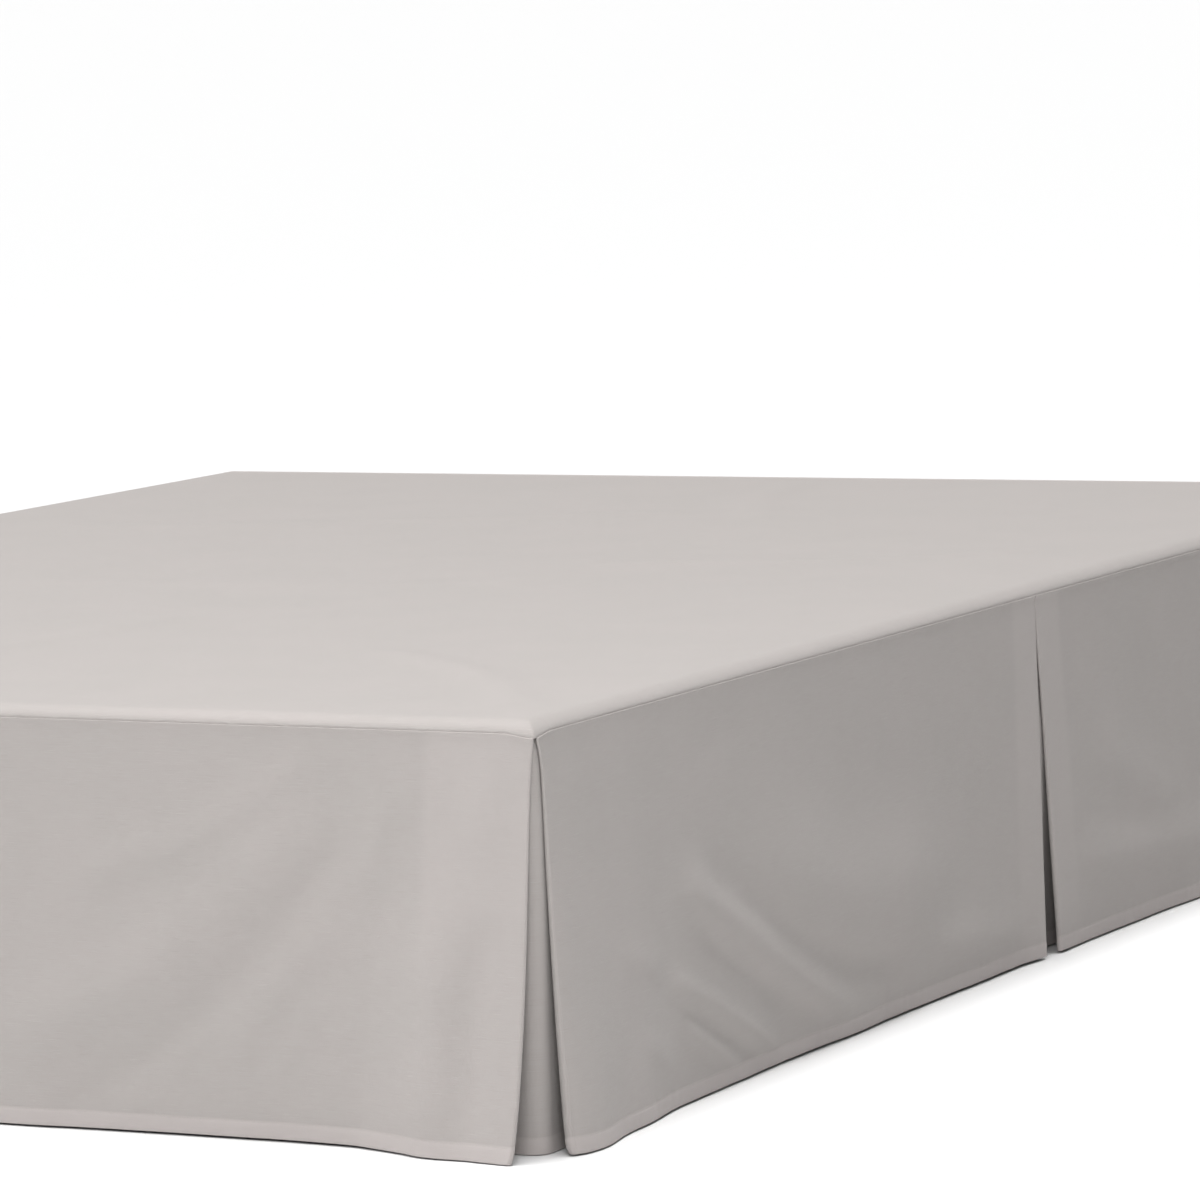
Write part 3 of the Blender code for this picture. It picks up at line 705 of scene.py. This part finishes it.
def make_panel(kind, word, side, low, high, shift):
    """A drop panel between two edges, with the cloth that folds back at them."""
    name = kind + "_cloth" + word
    drop = DROPS[:, None]
    start, end = (float(edge.face_end(np.zeros((1, 1)))[0, 0]) for edge in (low, high))
    top = stations(start, end, low.columns, high.columns)[None, :]
    low_share = np.clip(1 - (top - top[0, 0]) / EDGE_REACH, 0, 1)
    high_share = np.clip(1 - (top[0, -1] - top) / EDGE_REACH, 0, 1)
    low_shift = low.face_end(drop) - top[0, 0]
    high_shift = high.face_end(drop) - top[0, -1]
    face = top + low_shift * low_share ** 1.5 + high_shift * high_share ** 1.5
    low_along, low_out = low.turn(drop)
    high_along, high_out = high.turn(drop)
    along = np.concatenate((low_along[:, ::-1], face, high_along), axis=1)
    out = np.concatenate((low_out[:, ::-1], side.surface(face, drop), high_out), axis=1)
    held = np.clip(along, face[:, :1], face[:, -1:])
    middle = side.place(along, out, side.height(held, drop))
    backed = np.zeros_like(along)
    first = low_along.shape[1]
    if isinstance(low, FoldedEdge):
        backed = np.maximum(backed, low.backing(drop, low_along[:, -1:] - along))
        backed[:, :first] = curve(low.shows, drop)
    if isinstance(high, FoldedEdge):
        backed = np.maximum(backed, high.backing(drop, along - high_along[:, -1:]))
        backed[:, -high_along.shape[1]:] = curve(high.shows, drop)
    thread = spread(middle[0])[None, :] + np.zeros_like(along)
    front, back = hem_depths(drop, along.shape)
    if isinstance(high, PlainEdge):
        inside = (top[0, -1] - face) / HEM
        side_hem = ease(0.5 + (1 - inside) * 6)
        back[:, first:] = np.maximum(back[:, first:], CLOTH / 2 + HEM_EXTRA * side_hem)
        backed[:, first:] = np.maximum(backed[:, first:], side_hem)
        groove = bell((top[0, -1] - face - STITCH_LINE) / GROOVE_WIDTH)
        front[:, first:] -= END_GROOVE_DEPTH * groove
    backed = np.maximum(backed, hem_backing(drop))
    ripple = puckers(thread, drop, shift) + seam_puckers(thread, drop, shift)
    middle = middle + grid_normals(middle, side.mirrored) * ripple[..., None]
    marks = weave_marks(thread, drop, backed, shift)
    piece, fronts, normal = cloth_shell(name, middle, front, back, marks, side.mirrored)
    finish_piece(piece, CLOTH_MATERIAL, "skirt_cloth", kind + word)
    row = STITCH_ROW
    extras = [stitches(name + "_hem_stitches", fronts[row], normal[row])]
    if isinstance(high, PlainEdge):
        column = int(np.argmin(abs((top[0, -1] - top[0]) - STITCH_LINE))) + first
        line = (slice(3, row), column)
        extras.append(stitches(name + "_end_stitches", fronts[line], normal[line]))


def make_insert(kind, word, side, along, out, lift, mirrored, shift):
    """An insert that reaches from just under the seam to its hem."""
    name = kind + "_cloth" + word
    drop = DROPS[:, None]
    share = drop / DROP
    height = SEAM_HEIGHT - INSERT_TOP * (1 - share) - share * (DROP - lift)
    middle = side.place(along, out, height)
    thread = spread(middle[0])[None, :] + np.zeros_like(along)
    ripple = 0.6 * puckers(thread, drop, shift)
    middle = middle + grid_normals(middle, mirrored) * ripple[..., None]
    front, back = hem_depths(drop, along.shape)
    marks = weave_marks(thread, drop, hem_backing(drop), shift)
    piece, fronts, normal = cloth_shell(name, middle, front, back, marks, mirrored)
    finish_piece(piece, CLOTH_MATERIAL, "skirt_cloth", kind + word)
    seam = stitches(name + "_hem_stitches", fronts[STITCH_ROW], normal[STITCH_ROW])


def make_pleat_insert(word, side, front_edge, rear_edge, shift):
    drop = DROPS[:, None]
    start, end = front_edge.seam(drop) - INSERT_LAP, rear_edge.seam(drop) + INSERT_LAP
    share = np.linspace(0, 1, PLEAT_COLUMNS)[None, :]
    along = start + (end - start) * share
    sway = (PLEAT_SWAY * np.sin(math.pi * share) * np.sin(math.tau * share * 1.5 + shift)
            * ease((drop - 0.12) / 0.1))
    out = curve(PLEAT_INSERT, drop) + sway
    make_insert("pleat_insert", word, side, along, out, PLEAT_INSERT_LIFT, side.mirrored, shift)


def make_corner_insert(word, hand, foot_edge, side_edge, shift):
    """The insert behind a split corner, laid out on the foot side and bent round the corner."""
    drop = DROPS[:, None]
    foot_out = curve(CORNER_INSERT_FOOT, drop)
    side_out = curve(CORNER_INSERT_SIDE, drop)
    bend = curve(CORNER_INSERT_BEND, drop)
    across = BED_WIDTH / 2 + side_out
    start = hand * foot_edge.seam(drop) - INSERT_LAP
    end = -(side_edge.seam(drop) + INSERT_LAP + BED_LENGTH / 2)
    flat = np.linspace(0, 1, CORNER_COLUMNS)[None, :]
    angle = QUARTER_TURN * np.linspace(0, 1, CORNER_STEPS)[None, 1:-1]
    along = np.concatenate((start + (across - bend - start) * flat,
                            across - bend + bend * np.sin(angle), across + 0 * flat), axis=1)
    out = np.concatenate((foot_out + 0 * flat, foot_out - bend + bend * np.cos(angle),
                          foot_out - bend + (end - foot_out + bend) * flat), axis=1)
    make_insert("corner_insert", word, FOOT, hand * along, out, CORNER_INSERT_LIFT, hand < 0, shift)


def make_skirt_side(word, side, foot_edge, hand, shift):
    """The panels and inserts of one side; word ends their names."""
    corner = -BED_LENGTH / 2
    foot_end = FoldedEdge(side, corner, -1, SIDE_FOOT_EDGE, SIDE_RETURN, CORNER_INSERT_SIDE,
                          SIDE_SHOWS)
    front = FoldedEdge(side, PLEAT_CENTRE, 1, PLEAT_FRONT_EDGE, PLEAT_RETURN, PLEAT_INSERT,
                       PLEAT_SHOWS)
    rear = FoldedEdge(side, PLEAT_CENTRE, -1, PLEAT_REAR_EDGE, PLEAT_RETURN, PLEAT_INSERT,
                      PLEAT_SHOWS)
    make_panel("side_front", word, side, foot_end, front, shift)
    make_panel("side_rear", word, side, rear, PlainEdge(PANEL_HEAD), shift + 1)
    make_pleat_insert(word, side, front, rear, shift + 2)
    make_corner_insert(word, hand, foot_edge, foot_end, shift + 3)


def make_deck():
    """The cloth that the mattress lies on, rolled down to the seam on three sides."""
    turn = np.linspace(0, 1, ROLL_STEPS)[1:]
    rolled = ROLL_IN * np.sin(QUARTER_TURN * turn)
    half = BED_WIDTH / 2
    flat_x = np.linspace(-half + ROLL_IN, half - ROLL_IN, DECK_COLUMNS)
    x = np.concatenate((-(half - ROLL_IN + rolled)[::-1], flat_x, half - ROLL_IN + rolled))
    tx = np.concatenate((turn[::-1], np.zeros(len(flat_x)), turn))
    hem_line = DECK_HEAD - STITCH_LINE
    head = DECK_HEAD - np.array(DECK_HEAD_ROWS)
    near = hem_line + np.array(DECK_STITCH_ROWS)
    flat_y = np.linspace(hem_line - 0.006, -BED_LENGTH / 2 + ROLL_IN, DECK_ROWS)
    y = np.concatenate((head, near, flat_y, -(BED_LENGTH / 2 - ROLL_IN + rolled)))
    ty = np.concatenate((np.zeros(len(head) + len(near) + len(flat_y)), turn))
    x, tx, y, ty = x[None, :], tx[None, :], y[:, None], ty[:, None]
    t = np.maximum(tx, ty)
    away = np.maximum(half - abs(x), y + BED_LENGTH / 2)
    dip = CORNER_DIP * (1 - ease(away / CORNER_DIP_REACH)) * t
    inside = np.minimum(np.minimum(half - abs(x), y + BED_LENGTH / 2), DECK_HEAD - y)
    fade = ease((inside - ROLL_IN) / DECK_FADE)
    waves = np.sin(x * 23 + 3 * y) * np.sin(y * 17 - 2 * x) + np.sin(x * 9 - y * 13 + 1)
    lift = fade * (ridges(DECK_WRINKLES, x, y) + np.maximum(DECK_WAVE * waves, 0))
    z = DECK_Z - ROLL_DOWN * (1 - np.cos(QUARTER_TURN * t)) - dip + lift
    middle = np.stack(np.broadcast_arrays(x, y + BED_CENTRE_Y, z), axis=-1)
    hem = np.broadcast_to(ease(0.5 + (y - hem_line) / DECK_HEM_RAMP), z.shape)
    front = CLOTH / 2 + DECK_HEM_RISE * hem
    back = np.full(z.shape, CLOTH / 2)
    marks = weave_marks(x + DECK_WEAVE[0], y + DECK_WEAVE[1], hem, 0)
    piece, fronts, normal = cloth_shell("deck_cloth", middle, front, back, marks, False)
    finish_piece(piece, CLOTH_MATERIAL, "skirt_cloth", "deck")
    row = len(head) + 1
    seam = stitches("deck_cloth_hem_stitches", fronts[row], normal[row])


# ---- base and legs ----
BASE_SLACK = 0.0016  # how far the cover's sides hang in at most
WELT_RADIUS = 0.0022
WELT_OUT = 0.0002


def base_outline(inset):
    """Points round the base, from its right side at the head, with its corners rounded."""
    radius = BASE_CORNER - inset
    across, down = BASE_WIDTH / 2 - BASE_CORNER, BASE_LENGTH / 2 - BASE_CORNER
    corners = ((across, down), (-across, down), (-across, -down), (across, -down))
    points = []
    for quarter, (x, y) in enumerate(corners):
        for step in range(11):
            angle = QUARTER_TURN * (quarter + step / 10)
            points.append((x + radius * math.cos(angle), y + radius * math.sin(angle)))
        following = corners[(quarter + 1) % 4]
        end = QUARTER_TURN * (quarter + 1)
        start = np.array((x + radius * math.cos(end), y + radius * math.sin(end)))
        finish = np.array((following[0] + radius * math.cos(end),
                           following[1] + radius * math.sin(end)))
        count = round(np.linalg.norm(finish - start) / BASE_STEP)
        for step in range(1, count):
            points.append(tuple(start + (finish - start) * step / count))
    return np.array(points)


def make_base():
    """The foundation's cover: a low box with soft edges, a little slack on its sides."""
    turns = np.linspace(0, 90, 8)
    low, high = BASE_TOP - BASE_HEIGHT, BASE_TOP
    by_sine = [BASE_EDGE * (1 - math.sin(math.radians(a))) for a in turns]
    by_cosine = [BASE_EDGE * (1 - math.cos(math.radians(a))) for a in turns]
    wall = np.linspace(low + BASE_EDGE, high - BASE_EDGE, 10)[1:-1]
    profile = [(inset, low + rise) for inset, rise in zip(by_sine, by_cosine)]
    profile += [(0.0, z) for z in wall]
    profile += [(inset, high - fall) for inset, fall in zip(by_cosine, by_sine)]
    rings = []
    for inset, z in profile:
        ring = base_outline(inset)
        share = (z - low) / BASE_HEIGHT
        slack = math.sin(math.pi * share) ** 2
        reach = spread(ring)
        wave = 0.5 + 0.3 * np.sin(reach * 21 + 5 * share) + 0.2 * np.sin(reach * 47 - 8 * share)
        share_out = np.maximum(np.abs(ring) / np.array((BASE_WIDTH / 2, BASE_LENGTH / 2)), 1e-6)
        centre = ring / share_out.max(axis=1, keepdims=True)
        on_side = np.abs(centre) >= np.array((BASE_WIDTH, BASE_LENGTH)) / 2 - 1e-4
        outward = np.where(on_side, np.sign(ring), 0)
        ring = ring - outward * (BASE_SLACK * slack * wave)[:, None]
        rings.append(np.column_stack((ring[:, 0], ring[:, 1] + BED_CENTRE_Y,
                                      np.full(len(ring), z))))
    faces = ring_faces(len(rings), len(rings[0]))
    piece = add_mesh("bed_base_cover", np.concatenate(rings), faces, sharp=40)
    finish_piece(piece, TICKING_MATERIAL, "base_ticking", "bed_base")
    for word, z in (("top", high - BASE_EDGE), ("bottom", low + BASE_EDGE)):
        make_welt("base_welt_" + word, z)


def make_welt(name, z):
    """A thin corded seam round the base."""
    line = base_outline(-WELT_OUT)
    ahead = np.roll(line, -1, axis=0) - np.roll(line, 1, axis=0)
    ahead /= np.linalg.norm(ahead, axis=1, keepdims=True)
    outward = np.column_stack((ahead[:, 1], -ahead[:, 0]))
    points = []
    for side in range(WELT_SIDES):
        angle = math.tau * side / WELT_SIDES
        ring = line + outward * WELT_RADIUS * math.cos(angle)
        height = np.full(len(ring), z + WELT_RADIUS * math.sin(angle))
        points.append(np.column_stack((ring[:, 0], ring[:, 1] + BED_CENTRE_Y, height)))
    faces = ring_faces(WELT_SIDES, len(line), closed=True)
    piece = add_mesh(name, np.concatenate(points), faces)
    finish_piece(piece, TICKING_MATERIAL, "base_ticking")


# Share of the leg's height, share of its radius there
LEG_PROFILE = ((0.0, 0.86), (0.004, 0.96), (0.012, 1.0), (0.5, 1.0), (0.975, 1.0), (0.992, 0.985),
               (1.0, 0.95))


def make_leg(node, x, y):
    """A plain turned leg with softened ends."""
    length = BASE_TOP - BASE_HEIGHT - SEWN
    angle = math.tau * np.arange(LEG_SIDES) / LEG_SIDES
    points = []
    for share, trim in LEG_PROFILE:
        radius = (LEG_FOOT_RADIUS + (LEG_TOP_RADIUS - LEG_FOOT_RADIUS) * share) * trim
        points.append(np.column_stack((x + radius * np.cos(angle),
                                       y + BED_CENTRE_Y + radius * np.sin(angle),
                                       np.full(LEG_SIDES, share * length))))
    faces = ring_faces(len(points), LEG_SIDES)
    piece = add_mesh(node + "_turned", np.concatenate(points), faces, sharp=50)
    finish_piece(piece, WOOD_MATERIAL, "leg_wood", node)


# ---- materials ----
class Nodes:
    """Short ways to add and link the nodes of a material or of the world."""

    def __init__(self, owner, shader):
        owner.use_nodes = True
        self.owner = owner
        self.tree = owner.node_tree
        self.shader = self.tree.nodes[shader]

    def feed(self, node, values):
        """Link or set a node's inputs, by their names or numbers."""
        for key, value in values.items():
            if isinstance(value, bpy.types.NodeSocket):
                self.tree.links.new(value, node.inputs[key])
            else:
                node.inputs[key].default_value = value

    def add(self, kind, values=None, **settings):
        """The outputs of a new node."""
        node = self.tree.nodes.new(kind)
        for key, value in settings.items():
            setattr(node, key, value)
        self.feed(node, values or {})
        return node.outputs

    def math(self, operation, first, second=0.0, third=0.0):
        values = {0: first, 1: second, 2: third}
        return self.add("ShaderNodeMath", values, operation=operation)[0]

    def times(self, first, second):
        return self.math("MULTIPLY", first, second)

    def combine(self, x, y, z=0.0):
        return self.add("ShaderNodeCombineXYZ", {0: x, 1: y, 2: z})[0]

    def split(self, vector):
        return self.add("ShaderNodeSeparateXYZ", {0: vector})

    def noise(self, vector, scale, detail=2.0, roughness=0.5):
        values = {"Vector": vector, "Scale": scale, "Detail": detail, "Roughness": roughness}
        return self.add("ShaderNodeTexNoise", values)["Fac"]

    def ramp(self, value, low, high, start=0.0, end=1.0):
        """A smooth step from start to end while the value goes from low to high."""
        values = {"Value": value, "From Min": low, "From Max": high, "To Min": start, "To Max": end}
        return self.add("ShaderNodeMapRange", values, interpolation_type="SMOOTHSTEP")["Result"]

    def mix(self, factor, first, second, blend="MIX"):
        values = {0: factor, 6: first, 7: second}
        return self.add("ShaderNodeMix", values, data_type="RGBA", blend_type=blend)[2]

    def bump(self, height, distance, strength=1.0, **normal):
        values = {"Height": height, "Distance": distance, "Strength": strength}
        return self.add("ShaderNodeBump", values | normal)["Normal"]


def new_material(name, roughness):
    nodes = Nodes(bpy.data.materials.new(name), "Principled BSDF")
    nodes.feed(nodes.shader, {"Roughness": roughness})
    return nodes


def weave_height(nodes, u, v, pitch):
    """The relief of a plain weave: threads pass over and under each other in turn."""
    turn_u = nodes.times(u, math.pi / pitch)
    turn_v = nodes.times(v, math.pi / pitch)
    warp = nodes.math("ABSOLUTE", nodes.math("SINE", turn_u))
    weft = nodes.math("ABSOLUTE", nodes.math("SINE", turn_v))
    over = nodes.times(nodes.math("COSINE", turn_u), nodes.math("COSINE", turn_v))
    crossing = nodes.math("MULTIPLY_ADD", over, 0.5, 0.5)
    warp_part = nodes.times(warp, crossing)
    weft_part = nodes.times(weft, nodes.math("SUBTRACT", 1.0, crossing))
    return nodes.math("ADD", warp_part, weft_part)


def cloth_material():
    """A matte, slubbed plain weave in a light warm grey, with painted shade in the weave's hollows;
    lighter where a second layer backs it.
    """
    nodes = new_material("skirt_cloth", 0.88)
    nodes.feed(nodes.shader, {"Specular IOR Level": 0.25, "Sheen Weight": 0.10,
                              "Sheen Roughness": 0.55})
    mark = nodes.add("ShaderNodeAttribute", attribute_name="weave")["Vector"]
    u, v, backed = nodes.split(mark)
    plane = nodes.combine(u, v)
    wander = nodes.times(nodes.math("SUBTRACT", nodes.noise(plane, 60, 2), 0.5), 0.0012)
    straight_v = nodes.math("ADD", v, wander)
    straight_u = nodes.math("ADD", u, wander)
    weft_place = nodes.combine(nodes.times(u, 44), nodes.times(straight_v, 900))
    weft = nodes.noise(weft_place, 1.0, 2, 0.6)
    warp_place = nodes.combine(nodes.times(straight_u, 950), nodes.times(v, 26), 5.0)
    warp = nodes.noise(warp_place, 1.0, 2, 0.6)
    weft_slub = nodes.ramp(weft, 0.56, 0.78)
    warp_slub = nodes.ramp(warp, 0.60, 0.82)
    thin = nodes.ramp(weft, 0.44, 0.22)
    cloudy = nodes.noise(plane, 9, 3, 0.55)
    mottle = nodes.noise(nodes.combine(nodes.times(u, 60), nodes.times(v, 150), 9.0), 1.0, 2)
    weave = weave_height(nodes, straight_u, straight_v, 0.00052)

    base = nodes.mix(nodes.ramp(cloudy, 0.32, 0.68), (0.340, 0.316, 0.303, 1),
                     (0.348, 0.321, 0.309, 1))
    base = nodes.mix(nodes.ramp(mottle, 0.3, 0.7, 0.0, 0.35), base, (0.354, 0.333, 0.321, 1))
    base = nodes.mix(nodes.times(weft_slub, 0.46), base, (0.388, 0.364, 0.351, 1))
    base = nodes.mix(nodes.times(thin, 0.50), base, (0.304, 0.283, 0.272, 1))
    base = nodes.mix(nodes.times(warp_slub, 0.20), base, (0.380, 0.358, 0.345, 1))
    # painted shade: the base colour is darkened in the weave's hollows and lifted a little on its
    # crests
    shade = nodes.ramp(weave, 0.0, 1.0, 0.90, 1.03)
    base = nodes.mix(1.0, base, nodes.combine(shade, shade, shade), "MULTIPLY")
    base = nodes.mix(nodes.times(backed, 0.80), base, (0.403, 0.368, 0.358, 1))
    rough = nodes.math("MULTIPLY_ADD", weft_slub, -0.06, 0.90)
    normal = nodes.bump(weave, 0.00010)
    slub = nodes.math("ADD", nodes.times(weft_slub, 0.9), nodes.times(warp_slub, 0.5))
    normal = nodes.bump(slub, 0.00012, Normal=normal)
    crumple = nodes.noise(plane, 42, 3, 0.6)
    normal = nodes.bump(crumple, 0.0005, 0.35, Normal=normal)
    nodes.feed(nodes.shader, {"Base Color": base, "Roughness": rough, "Normal": normal})
    return nodes.owner


def thread_material():
    """Sewing thread, a shade lighter than the cloth, with its twist."""
    nodes = new_material("sewing_thread", 0.7)
    coordinates = nodes.add("ShaderNodeTexCoord")["Object"]
    twist = nodes.noise(coordinates, 2600, 1)
    colour = nodes.mix(nodes.ramp(twist, 0.3, 0.7), (0.324, 0.300, 0.288, 1),
                       (0.391, 0.366, 0.353, 1))
    nodes.feed(nodes.shader, {"Base Color": colour, "Normal": nodes.bump(twist, 0.00005)})
    return nodes.owner


def ticking_material():
    """The base's plain off-white cover, a coarse twill."""
    nodes = new_material("base_ticking", 0.85)
    coordinates = nodes.add("ShaderNodeTexCoord")["Object"]
    x, y, z = nodes.split(coordinates)
    level = nodes.math("ADD", x, y)
    slant = nodes.math("ADD", nodes.times(level, 2600), nodes.times(z, 3900))
    twill = nodes.math("MULTIPLY_ADD", nodes.math("SINE", slant), 0.5, 0.5)
    cloudy = nodes.noise(coordinates, 14, 3)
    fleck = nodes.noise(coordinates, 420, 2)
    base = nodes.mix(nodes.ramp(cloudy, 0.3, 0.7), (0.615, 0.590, 0.565, 1),
                     (0.630, 0.606, 0.581, 1))
    base = nodes.mix(nodes.ramp(fleck, 0.55, 0.75, 0.0, 0.5), base, (0.55, 0.52, 0.49, 1))
    base = nodes.mix(nodes.times(twill, 0.15), base, (0.70, 0.675, 0.65, 1))
    normal = nodes.bump(fleck, 0.00015, Normal=nodes.bump(twill, 0.00012))
    nodes.feed(nodes.shader, {"Base Color": base, "Sheen Weight": 0.08, "Normal": normal})
    return nodes.owner


def wood_material():
    """Dark stained wood with its grain running up the leg."""
    nodes = new_material("leg_wood", 0.42)
    x, y, z = nodes.split(nodes.add("ShaderNodeTexCoord")["Object"])
    stretched = nodes.combine(x, y, nodes.times(z, 0.06))
    grain = nodes.noise(stretched, 240, 4, 0.6)
    rings = nodes.noise(stretched, 46, 2, 0.5)
    bands = nodes.math("MULTIPLY_ADD", nodes.math("SINE", nodes.times(rings, 60)), 0.5, 0.5)
    base = nodes.mix(nodes.ramp(bands, 0.1, 0.9), (0.040, 0.025, 0.016, 1),
                     (0.085, 0.054, 0.034, 1))
    base = nodes.mix(nodes.ramp(grain, 0.5, 0.75, 0.0, 0.6), base, (0.022, 0.014, 0.009, 1))
    rough = nodes.ramp(grain, 0.3, 0.7, 0.36, 0.52)
    normal = nodes.bump(grain, 0.0002, 0.5)
    nodes.feed(nodes.shader, {"Base Color": base, "Roughness": rough, "Normal": normal})
    return nodes.owner


CLOTH_MATERIAL = cloth_material()
THREAD_MATERIAL = thread_material()
TICKING_MATERIAL = ticking_material()
WOOD_MATERIAL = wood_material()


# ---- the part ----
foot_left = FoldedEdge(FOOT, -BED_WIDTH / 2, -1, FOOT_LEFT_EDGE, FOOT_RETURN,
                       CORNER_INSERT_FOOT, FOOT_SHOWS)
foot_right = FoldedEdge(FOOT, BED_WIDTH / 2, 1, FOOT_RIGHT_EDGE, FOOT_RETURN,
                        CORNER_INSERT_FOOT, FOOT_SHOWS)
make_base()
make_deck()
make_panel("foot_panel", "", FOOT, foot_left, foot_right, 0)
make_skirt_side("_right", RIGHT, foot_right, 1, 1)
make_skirt_side("_left", LEFT, foot_left, -1, 5)
for end_word, leg_y in (("foot", -LEG_Y), ("middle", 0.0), ("head", LEG_Y)):
    for side_word, leg_x in (("left", -LEG_X), ("right", LEG_X)):
        make_leg(f"leg_{end_word}_{side_word}", leg_x, leg_y)


# ---- studio ----
def make_floor():
    size = 120.0
    corners = [(-size, -size, 0), (size, -size, 0), (size, size, 0), (-size, size, 0)]
    piece = add_mesh("studio_floor", corners, [(0, 1, 2, 3)])
    nodes = new_material("studio_floor", 0.9)
    nodes.feed(nodes.shader, {"Base Color": (0.69, 0.69, 0.69, 1), "Specular IOR Level": 0.1})
    piece.data.materials.append(nodes.owner)


def add_light(name, place, aim, size, power):
    data = bpy.data.lights.new(name, "AREA")
    data.shape = "RECTANGLE"
    data.size, data.size_y = size
    data.energy = power
    light = add_object(name, data)
    light.location = place
    light.rotation_euler = (Vector(aim) - Vector(place)).to_track_quat("-Z", "Y").to_euler()


def add_sun(name, towards, spread_degrees, strength):
    data = bpy.data.lights.new(name, "SUN")
    data.energy = strength
    data.angle = math.radians(spread_degrees)
    light = add_object(name, data)
    light.rotation_euler = Vector(towards).to_track_quat("Z", "Y").to_euler()


def make_sky():
    """A dim white room that is bright along its horizon, where the floor runs out."""
    nodes = Nodes(bpy.data.worlds.new("studio"), "Background")
    direction = nodes.add("ShaderNodeTexCoord")["Generated"]
    strength = nodes.ramp(nodes.split(direction)[2], 0.06, 0.20, 1.00, 0.12)
    nodes.feed(nodes.shader, {"Color": (1, 1, 1, 1), "Strength": strength})
    bpy.context.scene.world = nodes.owner


def make_camera():
    """The photo's point of view, fitted to its seams and hems at the assumed size of the bed."""
    place = Vector((3.212, -5.498 + BED_CENTRE_Y, 1.025))
    yaw, pitch, roll = (math.radians(a) for a in (28.005, 6.247, -2.079))
    back = Vector((math.sin(yaw) * math.cos(pitch), -math.cos(yaw) * math.cos(pitch), math.sin(pitch)))
    right = (-back).cross(Vector((0, 0, 1))).normalized()
    up = right.cross(-back)
    turned_right = right * math.cos(roll) + up * math.sin(roll)
    turned_up = up * math.cos(roll) - right * math.sin(roll)
    data = bpy.data.cameras.new("camera")
    data.sensor_width = 36
    data.lens = 187.35
    data.clip_end = 400
    camera = add_object("camera", data)
    axes = Matrix((turned_right, turned_up, back)).transposed().to_4x4()
    camera.matrix_world = Matrix.Translation(place) @ axes
    bpy.context.scene.camera = camera


make_floor()
make_sky()
add_sun("overhead", (0.0, 0.01, 1.0), 25, 4.2)
add_light("key", (-4.05, -3.5, 2.4), (0.35, -1.0, 0.2), (2.5, 2.5), 170)
add_light("front", (2.1, -3.3, 1.9), (0.76, -1.0, 0.2), (1.2, 1.2), 55)
bpy.context.scene.view_settings.view_transform = "Standard"
make_camera()
